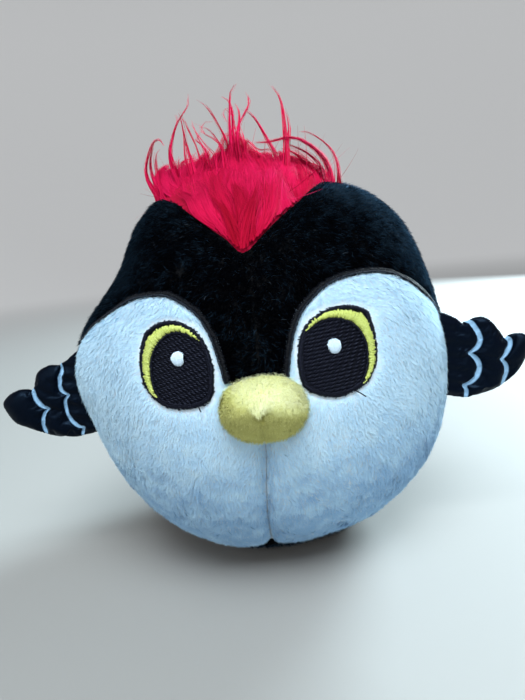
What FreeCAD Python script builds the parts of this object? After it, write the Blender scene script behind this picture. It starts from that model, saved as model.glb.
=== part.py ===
import FreeCAD, Part
import math
import os
from FreeCAD import Vector, Rotation, Placement, Matrix

# Round stuffed plush penguin, millimetres.
# Frame: +Z up through the crown, beak towards -Y, symmetric about X = 0.
# Origin: centre of the flattened patch of the base that it rests on.

os.makedirs("parts", exist_ok=True)
doc = FreeCAD.newDocument("plush_penguin")

# ---------------------------------------------------------------- sizes
sheet = doc.addObject("Spreadsheet::Sheet", "Sizes")
SIZES = [
    ("ball_radius", 80.0, "outside radius of the stuffed ball"),
    ("centre_height", 76.0, "ball centre above the rest patch"),
    ("skin", 2.4, "plush panel with its pile"),
    ("base_top", -66.3, "base panel seam, from the ball centre"),
    ("side_seam_y", -27.0, "side seam at the height of the wing"),
    ("side_seam_tilt", 6.8, "lean of the side seam, degrees"),
    ("seam_gap", 0.8, "width of a sewn seam"),
    ("lobe_x", 41.5, "cheek lobe centre from the midline"),
    ("lobe_z", 11.0, "cheek lobe centre above the ball centre"),
    ("lobe_wide", 32.3, "half width of a cheek lobe"),
    ("lobe_high", 28.3, "half height of a cheek lobe"),
    ("trim_width", 2.2, "satin stitched band round a lobe"),
    ("eye_lon", 19.8, "eye centre from the midline, degrees"),
    ("eye_lat", 11.0, "eye centre above the equator, degrees"),
    ("eye_tall", 14.4, "half height of an eye"),
    ("eye_wide", 13.3, "half width of an eye"),
    ("eye_line", 1.4, "width of the black outline"),
    ("eye_shift", 1.9, "pupil set off from the eye centre"),
    ("eye_slim", 1.6, "pupil smaller than the outline's inside"),
    ("glint_radius", 2.1, "white highlight"),
    ("thread_rise", 0.6, "embroidery stands above the plush"),
    ("beak_wide", 13.2, "half width of the beak at its base"),
    ("beak_high", 9.8, "half height of the beak at its base"),
    ("beak_reach", 16.5, "half length of the beak"),
    ("beak_y", -75.5, "beak ellipsoid centre"),
    ("beak_z", 1.0, "beak ellipsoid centre above the ball centre"),
    ("beak_skin", 1.4, "beak plush thickness"),
    ("wing_axis_x", 78.1, "wing seam line from the midline"),
    ("wing_axis_y", -28.0, "wing seam line in front of the centre"),
    ("wing_reach", 27.4, "wing seam to wing tip"),
    ("wing_up", 16.0, "wing root above the ball centre"),
    ("wing_down", 20.0, "wing root below the ball centre"),
    ("wing_start", 0.3, "wing edge from its seam line"),
    ("wing_face", 1.2, "wing fabric thickness"),
    ("wing_fill", 3.6, "wing filling thickness"),
    ("crest_gap", 0.4, "pile root above the crown"),
    ("crest_y", -18.0, "tuft ellipsoid centre"),
    ("crest_z", 56.0, "tuft ellipsoid centre above the ball centre"),
    ("crest_wide", 37.0, "tuft half width"),
    ("crest_long", 46.0, "tuft half length"),
    ("crest_high", 41.0, "tuft half height"),
]
S = {}
for row, (alias, value, note) in enumerate(SIZES, start=1):
    sheet.set("A%d" % row, alias)
    sheet.set("B%d" % row, str(value))
    sheet.setAlias("B%d" % row, alias)
    sheet.set("C%d" % row, note)
    S[alias] = value
doc.recompute()

CENTRE = Vector(0, 0, S["centre_height"])
DEG = math.pi / 180.0


def bind(obj, **expressions):
    """Tie properties to the sheet; a double underscore stands for a dot."""
    for prop, text in expressions.items():
        obj.setExpression(prop.replace("__", "."), text)
    return obj


def sphere(name, radius):
    ball = doc.addObject("Part::Sphere", name)
    return bind(ball, Radius=radius, Placement__Base__z="Sizes.centre_height")


def box(name, size, corner, rotation=None):
    """A block whose corner is given from the ball centre."""
    block = doc.addObject("Part::Box", name)
    if rotation is not None:
        block.Placement = Placement(Vector(0, 0, 0), rotation)
    bind(block, Length=size[0], Width=size[1], Height=size[2])
    bind(block, Placement__Base__x=corner[0], Placement__Base__y=corner[1],
         Placement__Base__z="Sizes.centre_height + (%s)" % corner[2])
    return block


def cut(name, base, tool):
    made = doc.addObject("Part::Cut", name)
    made.Base, made.Tool = base, tool
    return made


def common(name, *shapes):
    made = doc.addObject("Part::MultiCommon", name)
    made.Shapes = list(shapes)
    return made


def fuse(name, *shapes):
    made = doc.addObject("Part::MultiFuse", name)
    made.Shapes = list(shapes)
    return made


def ellipse_prism(name, major, minor, place, direction, length):
    """A solid elliptical rod; major and minor are expressions."""
    ring = doc.addObject("Part::Ellipse", name + "_ring")
    ring.Placement = place
    bind(ring, MajorRadius=major, MinorRadius=minor)
    rod = doc.addObject("Part::Extrusion", name)
    rod.Base = ring
    rod.DirMode = "Custom"
    rod.Dir = direction
    rod.LengthFwd = length
    rod.Solid = True
    return rod


def polygon(sketch, points):
    """Closed outline; each point is a pair (expression, expression)."""
    first = sketch.GeometryCount
    xy = [(value_of(a), value_of(b)) for a, b in points]
    n = len(xy)
    for i in range(n):
        a, b = xy[i], xy[(i + 1) % n]
        sketch.addGeometry(Part.LineSegment(Vector(a[0], a[1], 0), Vector(b[0], b[1], 0)), False)
    import Sketcher
    for i in range(n):
        sketch.addConstraint(Sketcher.Constraint("Coincident", first + i, 2, first + (i + 1) % n, 1))
    for i in range(n):
        for kind, axis in (("DistanceX", 0), ("DistanceY", 1)):
            at = sketch.addConstraint(Sketcher.Constraint(kind, first + i, 1, xy[i][axis]))
            sketch.setExpression("Constraints[%d]" % at, points[i][axis])


def value_of(text):
    """The number an expression over the sheet gives."""
    total = text
    for alias in sorted(S, key=len, reverse=True):
        total = total.replace("Sizes." + alias, repr(S[alias]))
    return sum_of_products(total)


def sum_of_products(text):
    """Works out terms such as 3 * 0.5 + 2 with no brackets."""
    result = 0.0
    for term in text.replace("- ", "+ -").split("+ "):
        product = 1.0
        for factor in term.split("*"):
            product *= float(factor)
        result += product
    return result


def body_pad(label, plane, points, length, symmetric=False):
    body = doc.addObject("PartDesign::Body", label)
    sketch = body.newObject("Sketcher::SketchObject", label + "_outline")
    origin_plane = [f for f in body.Origin.OriginFeatures if f.Role == plane][0]
    sketch.AttachmentSupport = [(origin_plane, "")]
    sketch.MapMode = "FlatFace"
    doc.recompute()
    polygon(sketch, points)
    pad = body.newObject("PartDesign::Pad", label + "_pad")
    pad.Profile = sketch
    if symmetric:
        pad.SideType = "Symmetric"
    bind(pad, Length=length)
    body.Tip = pad
    sketch.Visibility = False
    doc.recompute()
    return body


# ---------------------------------------------------------------- ball
outer = sphere("ball_outside", "Sizes.ball_radius")
above = box("above_rest_patch", ("400", "400", "400"), ("-200", "-200", "-1 * Sizes.centre_height"))
ball = common("ball_on_patch", outer, above)
inner = sphere("ball_inside", "Sizes.ball_radius - Sizes.skin")
above_in = box("above_base_cloth", ("400", "400", "400"),
               ("-200", "-200", "-1 * Sizes.centre_height + Sizes.skin"))
core = common("stuffing_core", inner, above_in)
doc.recompute()
skin = cut("skin", ball, core)

# front of the side seam, below the base seam
front_solid = doc.addObject("Part::Feature", "front_space")


def front_shape():
    """Half space in front of the leaning side seam."""
    block = Part.makeBox(400, 200, 400, Vector(-200, -200, -200))
    block.rotate(Vector(0, 0, 0), Vector(1, 0, 0), -S["side_seam_tilt"])
    block.translate(Vector(0, S["side_seam_y"], S["centre_height"] + 2.0))
    return block


front_solid.Shape = front_shape()
base_space = box("base_space", ("400", "400", "100"), ("-200", "-200", "Sizes.base_top - 100"))
left_space = box("left_space", ("200", "400", "400"),
                 ("-200 - Sizes.seam_gap / 2", "-200", "-200"))
right_space = box("right_space", ("200", "400", "400"), ("Sizes.seam_gap / 2", "-200", "-200"))
seam_space = box("seam_space", ("Sizes.seam_gap", "400", "400"),
                 ("-1 * Sizes.seam_gap / 2", "-200", "-200"))

# crown insert, seen from above: a V that points at the forehead
CREST = [(-1.0, -63.0), (11.0, -53.5), (19.5, -44.0), (28.0, -28.0), (35.0, -13.0), (34.0, 0.0),
         (26.0, 11.0), (12.0, 17.0), (-12.0, 17.0), (-26.0, 11.0), (-34.0, 0.0), (-35.0, -13.0),
         (-28.0, -28.0), (-20.5, -44.0), (-13.0, -53.5)]
crest_body = body_pad("crest_column", "XY_Plane",
                      [("%.3f * Sizes.crest_wide" % (x / S["crest_wide"]),
                        "%.3f * Sizes.crest_wide" % (y / S["crest_wide"])) for x, y in CREST],
                      "Sizes.centre_height + Sizes.ball_radius + 40")
upper = box("upper_half", ("400", "400", "300"), ("-200", "-200", "20"))
crest_space = common("crest_space", crest_body, upper)
crest_backing = common("crest_backing", skin, crest_space)
doc.recompute()

# ------------------------------------------------------- white lobes, trims
lobe_spaces, ring_spaces = [], []
turn = Rotation(Vector(1, 0, 0), 90)
for side, sign in (("left", -1), ("right", 1)):
    for kind, extra in (("lobe", ""), ("ring", " + Sizes.trim_width")):
        rod = ellipse_prism(side + "_" + kind, "Sizes.lobe_wide" + extra, "Sizes.lobe_high" + extra,
                            Placement(Vector(0, -110, 0), turn), Vector(0, 1, 0), 108)
        ring = rod.Base
        bind(ring, Placement__Base__x="%d * Sizes.lobe_x" % sign,
             Placement__Base__z="Sizes.centre_height + Sizes.lobe_z")
        (lobe_spaces if kind == "lobe" else ring_spaces).append(rod)
low_white = box("low_white", ("400", "108", "300"), ("-200", "-110", "Sizes.lobe_z - 300"))
white_space = fuse("white_space", lobe_spaces[0], lobe_spaces[1], low_white)
doc.recompute()

face_skin = common("face_skin", skin, front_solid)
face_low = cut("face_above_base", face_skin, base_space)
face_white = common("face_white", face_low, white_space)
face_panel_left = common("face_panel_left", face_white, left_space)
face_panel_right = common("face_panel_right", face_white, right_space)
face_seam = common("face_seam_thread", face_white, seam_space)
face_dark = cut("face_dark", face_low, white_space)
brow_left = common("brow_trim_left", face_dark, ring_spaces[0])
brow_right = common("brow_trim_right", face_dark, ring_spaces[1])
both_rings = fuse("both_rings", ring_spaces[0], ring_spaces[1])
forehead_full = cut("forehead_full", face_dark, both_rings)
forehead = cut("forehead_panel", forehead_full, crest_space)
base_panel = common("base_panel", skin, base_space)
back_skin = cut("back_skin", skin, front_solid)
back_high = cut("back_above_base", back_skin, base_space)
back_open = cut("back_open", back_high, crest_space)
back_left = common("back_panel_left", back_open, left_space)
back_right = common("back_panel_right", back_open, right_space)
back_seam = common("back_seam_thread", back_open, seam_space)
doc.recompute()

# ---------------------------------------------------------------- eyes
thread_outer = sphere("thread_outside", "Sizes.ball_radius + Sizes.thread_rise")
thread_layer = cut("thread_layer", thread_outer, outer)
EYE_PARTS = []
for side, sign in (("left", -1), ("right", 1)):
    lon, lat = S["eye_lon"] * DEG * sign, S["eye_lat"] * DEG
    out = Vector(math.sin(lon) * math.cos(lat), -math.cos(lon) * math.cos(lat), math.sin(lat))
    up = Vector(-math.sin(lon) * math.sin(lat), math.cos(lon) * math.sin(lat), math.cos(lat))
    across = out.cross(up)
    frame = Matrix(up.x, across.x * -1, out.x, 0,
                   up.y, across.y * -1, out.y, 0,
                   up.z, across.z * -1, out.z, 0,
                   0, 0, 0, 1)
    turn_eye = Placement(frame).Rotation
    outer_way = Vector(math.cos(lon), math.sin(lon), 0) * sign

    def eye_rod(name, major, minor, shift):
        start = CENTRE + out * 62 + shift
        return ellipse_prism(name, major, minor, Placement(start, turn_eye), out, 30)

    none = Vector(0, 0, 0)
    whole = eye_rod("eye_whole_" + side, "Sizes.eye_tall", "Sizes.eye_wide", none)
    inside = eye_rod("eye_inside_" + side, "Sizes.eye_tall - Sizes.eye_line",
                     "Sizes.eye_wide - Sizes.eye_line", none)
    shift = (up * -0.62 + outer_way * -0.78) * S["eye_shift"]
    pupil_rod = eye_rod("eye_pupil_rod_" + side, "Sizes.eye_tall - Sizes.eye_line - Sizes.eye_slim",
                        "Sizes.eye_wide - Sizes.eye_line - Sizes.eye_slim", shift)
    glint_at = up * 2.0 + outer_way * 0.5
    glint_rod = eye_rod("eye_glint_rod_" + side, "Sizes.glint_radius * 1.05", "Sizes.glint_radius",
                        glint_at)
    patch = common("eye_patch_" + side, thread_layer, whole)
    inner_patch = common("eye_inner_patch_" + side, thread_layer, inside)
    EYE_PARTS.append(cut("eye_outline_" + side, patch, inside))
    dark = common("eye_dark_" + side, inner_patch, pupil_rod)
    EYE_PARTS.append(cut("eye_pupil_" + side, dark, glint_rod))
    EYE_PARTS.append(cut("eye_crescent_" + side, inner_patch, pupil_rod))
    EYE_PARTS.append(common("eye_highlight_" + side, thread_layer, glint_rod))
doc.recompute()

# ---------------------------------------------------------------- beak
def ellipsoid(name, extra):
    made = doc.addObject("Part::Ellipsoid", name)
    made.Angle1, made.Angle2 = -90, 90
    bind(made, Radius1="Sizes.beak_high" + extra, Radius2="Sizes.beak_wide" + extra,
         Radius3="Sizes.beak_reach" + extra)
    bind(made, Placement__Base__y="Sizes.beak_y",
         Placement__Base__z="Sizes.centre_height + Sizes.beak_z")
    return made


beak_out = ellipsoid("beak_outside", "")
beak_in = ellipsoid("beak_inside", " - Sizes.beak_skin")
beak_cloth = cut("beak_cloth", beak_out, beak_in)
beak_skin = cut("beak_skin", beak_cloth, outer)
beak_stuffing = cut("beak_stuffing", beak_in, outer)
beak_high_space = box("beak_high_space", ("100", "100", "60"), ("-50", "-150", "0"))
beak_low_left = box("beak_low_left_space", ("50", "100", "60"), ("-50", "-150", "-60"))
beak_low_right = box("beak_low_right_space", ("50", "100", "60"), ("0", "-150", "-60"))
beak_upper = common("beak_upper_panel", beak_skin, beak_high_space)
beak_left = common("beak_lower_left", beak_skin, beak_low_left)
beak_right = common("beak_lower_right", beak_skin, beak_low_right)
doc.recompute()

# ---------------------------------------------------------------- tuft
tuft_round = doc.addObject("Part::Ellipsoid", "tuft_round")
tuft_round.Angle1, tuft_round.Angle2 = -90, 90
bind(tuft_round, Radius1="Sizes.crest_high", Radius2="Sizes.crest_wide", Radius3="Sizes.crest_long",
     Placement__Base__y="Sizes.crest_y",
     Placement__Base__z="Sizes.centre_height + Sizes.crest_z")
scalp = sphere("scalp", "Sizes.ball_radius + Sizes.crest_gap")
tuft_open = cut("tuft_open", tuft_round, scalp)
crest_pile = common("crest_pile", tuft_open, crest_space)
doc.recompute()

# ---------------------------------------------------------------- wings
# Outline from the seam line: share of the reach, share of the height.
WING = [(0.0, 0.88), (0.12, 0.78), (0.30, 0.78), (0.46, 0.66), (0.58, 0.30), (0.68, 0.31),
        (0.80, 0.24), (0.94, 0.10), (1.0, -0.08), (0.99, -0.24), (0.88, -0.52), (0.62, -0.77),
        (0.36, -0.91), (0.0, -0.99)]


def wing_points(sign):
    points = []
    for along, high in WING:
        x = "%d * Sizes.wing_axis_x + %.4f * Sizes.wing_reach" % (sign, sign * along)
        if along == 0.0:
            x = "%d * Sizes.wing_axis_x + %d * Sizes.wing_start" % (sign, sign)
        if high >= 0:
            z = "1 * Sizes.centre_height + %.4f * Sizes.wing_up" % high
        else:
            z = "1 * Sizes.centre_height + %.4f * Sizes.wing_down" % high
        points.append((x, z))
    return points


WING_PARTS = []
for side, sign in (("left", -1), ("right", 1)):
    for label, length, offset in (
            ("wing_%s_front" % side, "Sizes.wing_face", "-1 * (Sizes.wing_fill + Sizes.wing_face) / 2"),
            ("wing_%s_filling" % side, "Sizes.wing_fill", "0"),
            ("wing_%s_back" % side, "Sizes.wing_face", "(Sizes.wing_fill + Sizes.wing_face) / 2")):
        body = body_pad(label, "XZ_Plane", wing_points(sign), length, symmetric=True)
        bind(body, Placement__Base__y="Sizes.wing_axis_y + " + offset)
        WING_PARTS.append(body)
doc.recompute()

# ---------------------------------------------------------------- write
NODES = [core, face_panel_left, face_panel_right, face_seam, forehead, brow_left, brow_right,
         back_left, back_right, back_seam, base_panel, crest_backing, crest_pile,
         beak_upper, beak_left, beak_right, beak_stuffing] + EYE_PARTS + WING_PARTS

bad = [o.Name for o in doc.Objects if "Invalid" in o.State or "Error" in o.State]
if bad:
    raise RuntimeError("failed features: %s" % bad)
for node in NODES:
    shape = node.Shape
    if shape.isNull() or not shape.isValid() or not shape.Solids:
        raise RuntimeError("bad shape: %s" % node.Label)
    if any(solid.Volume <= 0 for solid in shape.Solids):
        raise RuntimeError("empty solid: %s" % node.Label)
for node in NODES:
    node.Shape.exportStep("parts/%s.step" % node.Label)
    b = node.Shape.BoundBox
    print("%-24s solids %d volume %9.1f  x %.1f..%.1f y %.1f..%.1f z %.1f..%.1f" % (
        node.Label, len(node.Shape.Solids), node.Shape.Volume, b.XMin, b.XMax, b.YMin, b.YMax,
        b.ZMin, b.ZMax))
print("nodes", len(NODES))
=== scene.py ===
import math

import bmesh
import bpy
import numpy as np
from mathutils import Matrix, Vector


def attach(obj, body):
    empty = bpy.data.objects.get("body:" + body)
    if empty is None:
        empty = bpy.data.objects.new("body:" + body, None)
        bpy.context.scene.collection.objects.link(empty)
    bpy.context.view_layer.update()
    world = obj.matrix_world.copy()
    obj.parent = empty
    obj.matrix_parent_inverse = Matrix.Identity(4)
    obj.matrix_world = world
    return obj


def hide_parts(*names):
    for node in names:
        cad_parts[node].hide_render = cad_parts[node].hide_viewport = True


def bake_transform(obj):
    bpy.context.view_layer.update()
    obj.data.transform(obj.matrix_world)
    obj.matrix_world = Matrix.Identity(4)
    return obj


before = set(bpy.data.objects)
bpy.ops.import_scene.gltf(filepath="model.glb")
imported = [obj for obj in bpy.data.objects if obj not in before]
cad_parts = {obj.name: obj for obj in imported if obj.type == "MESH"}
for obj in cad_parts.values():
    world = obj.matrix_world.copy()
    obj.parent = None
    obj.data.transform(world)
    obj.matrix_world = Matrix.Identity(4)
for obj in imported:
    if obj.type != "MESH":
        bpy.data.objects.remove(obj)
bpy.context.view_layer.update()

# Round stuffed plush penguin.
# Shapes are worked out in millimetres from the ball's centre, which is CZ above the rest patch,
# and become metres in the shared frame when a mesh is made.

CZ = 76.0
R0 = 80.0
DEG = math.pi / 180.0
scene = bpy.context.scene
scene.view_settings.view_transform = "Standard"

# ------------------------------------------------------------------ camera
cam_data = bpy.data.cameras.new("camera")
cam_data.sensor_fit = "AUTO"
cam_data.sensor_width = 36.0
cam_data.lens = 526.0 / 700.0 * 36.0
cam_data.clip_start, cam_data.clip_end = 0.005, 20.0
cam = bpy.data.objects.new("camera", cam_data)
scene.collection.objects.link(cam)
RIGHT = (0.9947261, 0.0090146, -0.1021701)
DOWN = (-0.0986537, -0.1884436, -0.9771164)
AHEAD = (-0.0280616, 0.9820426, -0.1865605)
cam.matrix_world = Matrix((
    (RIGHT[0], -DOWN[0], -AHEAD[0], 0.0059297),
    (RIGHT[1], -DOWN[1], -AHEAD[1], -0.2338079),
    (RIGHT[2], -DOWN[2], -AHEAD[2], 0.1242093),
    (0, 0, 0, 1)))
scene.camera = cam


# ------------------------------------------------------------------ helpers
def norm(a):
    return a / np.maximum(np.linalg.norm(a, axis=-1, keepdims=True), 1e-9)


def ease(a, lo, hi):
    t = np.clip((a - lo) / (hi - lo), 0, 1)
    return t * t * (3 - 2 * t)


def noise3(P, size, seed):
    """Smooth value noise, -1 to 1."""
    q = np.asarray(P, float) / size + seed * 7.31
    i = np.floor(q).astype(np.int64)
    f = q - i
    f = f * f * (3 - 2 * f)
    total = 0.0
    for a in (0, 1):
        wa = f[..., 0] if a else 1 - f[..., 0]
        for b in (0, 1):
            wb = f[..., 1] if b else 1 - f[..., 1]
            for c in (0, 1):
                wc = f[..., 2] if c else 1 - f[..., 2]
                h = ((i[..., 0] + a) * 73856093) ^ ((i[..., 1] + b) * 19349663) ^ (
                    (i[..., 2] + c) * 83492791) ^ (seed * 40503 + 977)
                h = (h ^ (h >> 13)) * 1274126177 & 0x7FFFFFFF
                h = (h ^ (h >> 15)) * 668265263 & 0x7FFFFFFF
                total = total + wa * wb * wc * ((h ^ (h >> 16)) % 65536 / 32767.5 - 1)
    return total


def spline(points, closed=False, k=6):
    """Catmull-Rom curve through the points."""
    p = np.asarray(points, float)
    n = len(p)
    if closed:
        ext = np.vstack([p[-1:], p, p[:2]])
        last = n
    else:
        ext = np.vstack([2 * p[:1] - p[1:2], p, 2 * p[-1:] - p[-2:-1]])
        last = n - 1
    out = []
    for i in range(last):
        a, b, c, d = ext[i], ext[i + 1], ext[i + 2], ext[i + 3]
        for t in np.arange(k) / k:
            out.append(0.5 * (2 * b + (c - a) * t + (2 * a - 5 * b + 4 * c - d) * t * t
                              + (3 * b - a - 3 * c + d) * t ** 3))
    if not closed:
        out.append(p[-1])
    return np.array(out)


def spaced(path, step=None, count=None, closed=False):
    """Points at even distances along a line."""
    p = np.vstack([path, path[:1]]) if closed else np.asarray(path, float)
    s = np.concatenate([[0], np.cumsum(np.linalg.norm(np.diff(p, axis=0), axis=1))])
    if count is None:
        count = max(2, int(round(s[-1] / step)) + (0 if closed else 1))
    at = np.linspace(0, s[-1], count, endpoint=not closed)
    return np.stack([np.interp(at, s, p[:, i]) for i in range(p.shape[1])], axis=1)


def signed(pts, poly):
    """Distance to a closed outline in a plane, positive inside."""
    best = np.full(len(pts), 1e18)
    inside = np.zeros(len(pts), bool)
    x, y = pts[:, 0], pts[:, 1]
    for (ax, ay), (bx, by) in zip(poly, np.roll(poly, -1, 0)):
        dx, dy = bx - ax, by - ay
        ll = dx * dx + dy * dy
        if ll < 1e-12:
            continue
        t = np.clip(((x - ax) * dx + (y - ay) * dy) / ll, 0, 1)
        best = np.minimum(best, (x - ax - t * dx) ** 2 + (y - ay - t * dy) ** 2)
        if ay != by:
            cross = ((ay > y) != (by > y)) & (x < dx * (y - ay) / dy + ax)
            inside ^= cross
    return np.where(inside, 1, -1) * np.sqrt(best)


def along_line(pts, path):
    """Distance to an open line."""
    best = np.full(len(pts), 1e18)
    for a, b in zip(path[:-1], path[1:]):
        d = b - a
        t = np.clip(((pts - a) @ d) / max(d @ d, 1e-12), 0, 1)
        best = np.minimum(best, ((pts - a - t[:, None] * d) ** 2).sum(1))
    return np.sqrt(best)


def dirs(lon, lat):
    lon, lat = np.asarray(lon) * DEG, np.asarray(lat) * DEG
    return np.stack([np.sin(lon) * np.cos(lat), -np.cos(lon) * np.cos(lat), np.sin(lat)], -1)


def flat_map(n):
    """Front of the ball laid flat, mm."""
    lon, lat = np.arctan2(n[..., 0], -n[..., 1]), np.arcsin(np.clip(n[..., 2], -1, 1))
    return np.stack([R0 * lon * np.cos(lat), R0 * lat], -1)


def vertex_normals(V, F):
    N = np.zeros_like(V)
    a, b, c = V[F[:, 0]], V[F[:, 1]], V[F[:, 2]]
    fn = np.cross(b - a, c - a)
    for k in range(3):
        for j in range(3):
            N[:, j] += np.bincount(F[:, k], fn[:, j], len(V))
    return norm(N)


def clip(V, F, d):
    """The part of a triangle mesh where d > 0, cut along d = 0."""
    d = np.where(np.abs(d) < 1e-4, -1e-4, d)
    pos = d > 0
    k = pos[F].sum(1)
    n = len(V)
    faces, starts, ends = [F[k == 3]], [], []
    made = []
    for count, want in ((1, True), (2, False)):
        T = F[k == count]
        idx = np.argmax(pos[T] == want, axis=1)
        T = np.take_along_axis(T, (idx[:, None] + np.arange(3)) % 3, 1)
        made.append(T)
        starts += [T[:, 0], T[:, 0]]
        ends += [T[:, 1], T[:, 2]]
    a, b = np.concatenate(starts), np.concatenate(ends)
    lo, hi = np.minimum(a, b), np.maximum(a, b)
    key, inverse = np.unique(lo * n + hi, return_inverse=True)
    lo, hi = key // n, key % n
    t = d[lo] / (d[lo] - d[hi])
    V2 = np.vstack([V, V[lo] + (V[hi] - V[lo]) * t[:, None]])
    inverse = inverse.reshape(-1) + n
    m1, m2 = len(made[0]), len(made[1])
    ab1, ac1 = inverse[:m1], inverse[m1:2 * m1]
    ab2, ac2 = inverse[2 * m1:2 * m1 + m2], inverse[2 * m1 + m2:]
    faces.append(np.stack([made[0][:, 0], ab1, ac1], 1))
    faces.append(np.stack([ab2, made[1][:, 1], made[1][:, 2]], 1))
    faces.append(np.stack([ab2, made[1][:, 2], ac2], 1))
    return tidy(V2, np.vstack(faces))


def tidy(V, F):
    used, F = np.unique(F.reshape(-1), return_inverse=True)
    return V[used], F.reshape(-1, 3)


def rim(F):
    """Directed edges that only one triangle uses."""
    e = np.vstack([F[:, [0, 1]], F[:, [1, 2]], F[:, [2, 0]]])
    n = F.max() + 1
    fwd = e[:, 0] * n + e[:, 1]
    back = e[:, 1] * n + e[:, 0]
    return e[~np.isin(fwd, back)]


def thicken(V, F, thick):
    """A closed piece of cloth: the outside, the inside and the rim."""
    n = len(V)
    inner = V - vertex_normals(V, F) * thick
    e = rim(F)
    wall = np.vstack([np.stack([e[:, 1], e[:, 0], e[:, 0] + n], 1),
                      np.stack([e[:, 1], e[:, 0] + n, e[:, 1] + n], 1)])
    return np.vstack([V, inner]), np.vstack([F, F[:, ::-1] + n, wall])


def build(name, V, F, mat, slot=None, smooth=True, uv=None, attr=None, normals=None):
    """A mesh object from points in mm about the ball's centre."""
    me = bpy.data.meshes.new(name)
    W = (np.asarray(V, float) + (0, 0, CZ)) * 0.001
    me.vertices.add(len(W))
    me.vertices.foreach_set("co", W.astype(np.float32).reshape(-1))
    groups = F if isinstance(F, (list, tuple)) else [F]
    loops = np.concatenate([g.reshape(-1) for g in groups]).astype(np.int32)
    sizes = np.concatenate([np.full(len(g), g.shape[1]) for g in groups]).astype(np.int32)
    me.loops.add(len(loops))
    me.loops.foreach_set("vertex_index", loops)
    me.polygons.add(len(sizes))
    me.polygons.foreach_set("loop_start", np.concatenate([[0], np.cumsum(sizes)[:-1]]).astype(np.int32))
    me.polygons.foreach_set("use_smooth", np.full(len(sizes), smooth))
    me.update(calc_edges=True)
    if uv is not None:
        layer = me.uv_layers.new(name="OFBake")
        layer.data.foreach_set("uv", uv[loops].astype(np.float32).reshape(-1))
    for key, values in (attr or {}).items():
        a = me.attributes.new(key, "FLOAT", "POINT")
        a.data.foreach_set("value", np.asarray(values, np.float32))
    if normals is not None:
        me.normals_split_custom_set_from_vertices(norm(np.asarray(normals, float)).astype(np.float32))
    me.materials.append(mat)
    ob = bpy.data.objects.new(name, me)
    scene.collection.objects.link(ob)
    return ob


# ------------------------------------------------------------------ materials
def shader(name, rough=0.6, sheen=0.0, sheen_tint=(1, 1, 1), sheen_rough=0.4, spec=0.5, coat=0.0):
    mat = bpy.data.materials.new(name)
    mat.use_nodes = True
    tree = mat.node_tree
    b = tree.nodes["Principled BSDF"]
    b.inputs["Roughness"].default_value = rough
    b.inputs["Sheen Weight"].default_value = sheen
    b.inputs["Sheen Roughness"].default_value = sheen_rough
    b.inputs["Sheen Tint"].default_value = (*sheen_tint, 1)
    b.inputs["Specular IOR Level"].default_value = spec
    b.inputs["Coat Weight"].default_value = coat
    return mat, tree, b


def ramp(tree, stops):
    r = tree.nodes.new("ShaderNodeValToRGB")
    e = r.color_ramp.elements
    e[0].position, e[0].color = stops[0][0], (*stops[0][1], 1)
    e[1].position, e[1].color = stops[-1][0], (*stops[-1][1], 1)
    for at, colour in stops[1:-1]:
        n = e.new(at)
        n.color = (*colour, 1)
    return r


def noise(tree, scale, detail=3.0, rough=0.55):
    t = tree.nodes.new("ShaderNodeTexNoise")
    t.inputs["Scale"].default_value = scale
    t.inputs["Detail"].default_value = detail
    t.inputs["Roughness"].default_value = rough
    c = tree.nodes.new("ShaderNodeTexCoord")
    tree.links.new(c.outputs["Object"], t.inputs["Vector"])
    return t


def bump(tree, b, source, strength, distance):
    n = tree.nodes.new("ShaderNodeBump")
    n.inputs["Strength"].default_value = strength
    n.inputs["Distance"].default_value = distance
    tree.links.new(source, n.inputs["Height"])
    tree.links.new(n.outputs["Normal"], b.inputs["Normal"])


def fibre_material(name, tones, root, **how):
    """Colour from each fibre's own tone (u) and from root to tip (v); the darkening towards the root is painted shade.
    """
    mat, tree, b = shader(name, **how)
    uv = tree.nodes.new("ShaderNodeUVMap")
    uv.uv_map = "OFBake"
    sep = tree.nodes.new("ShaderNodeSeparateXYZ")
    tree.links.new(uv.outputs["UV"], sep.inputs[0])
    tone, shade = ramp(tree, tones), ramp(tree, root)
    tree.links.new(sep.outputs["X"], tone.inputs[0])
    tree.links.new(sep.outputs["Y"], shade.inputs[0])
    mix = tree.nodes.new("ShaderNodeMix")
    mix.data_type, mix.blend_type = "RGBA", "MULTIPLY"
    mix.inputs["Factor"].default_value = 1.0
    tree.links.new(tone.outputs[0], mix.inputs["A"])
    tree.links.new(shade.outputs[0], mix.inputs["B"])
    tree.links.new(mix.outputs["Result"], b.inputs["Base Color"])
    return mat


def cloth_material(name, stops, scale=900.0, strength=0.3, distance=0.0004, **how):
    """Knitted or woven backing: speckled colour and a fine relief."""
    mat, tree, b = shader(name, **how)
    t = noise(tree, scale)
    r = ramp(tree, stops)
    tree.links.new(t.outputs["Fac"], r.inputs[0])
    tree.links.new(r.outputs[0], b.inputs["Base Color"])
    bump(tree, b, t.outputs["Fac"], strength, distance)
    return mat


# the darker blue low end of the white tone ramp is painted shade, reached towards the chin
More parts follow.
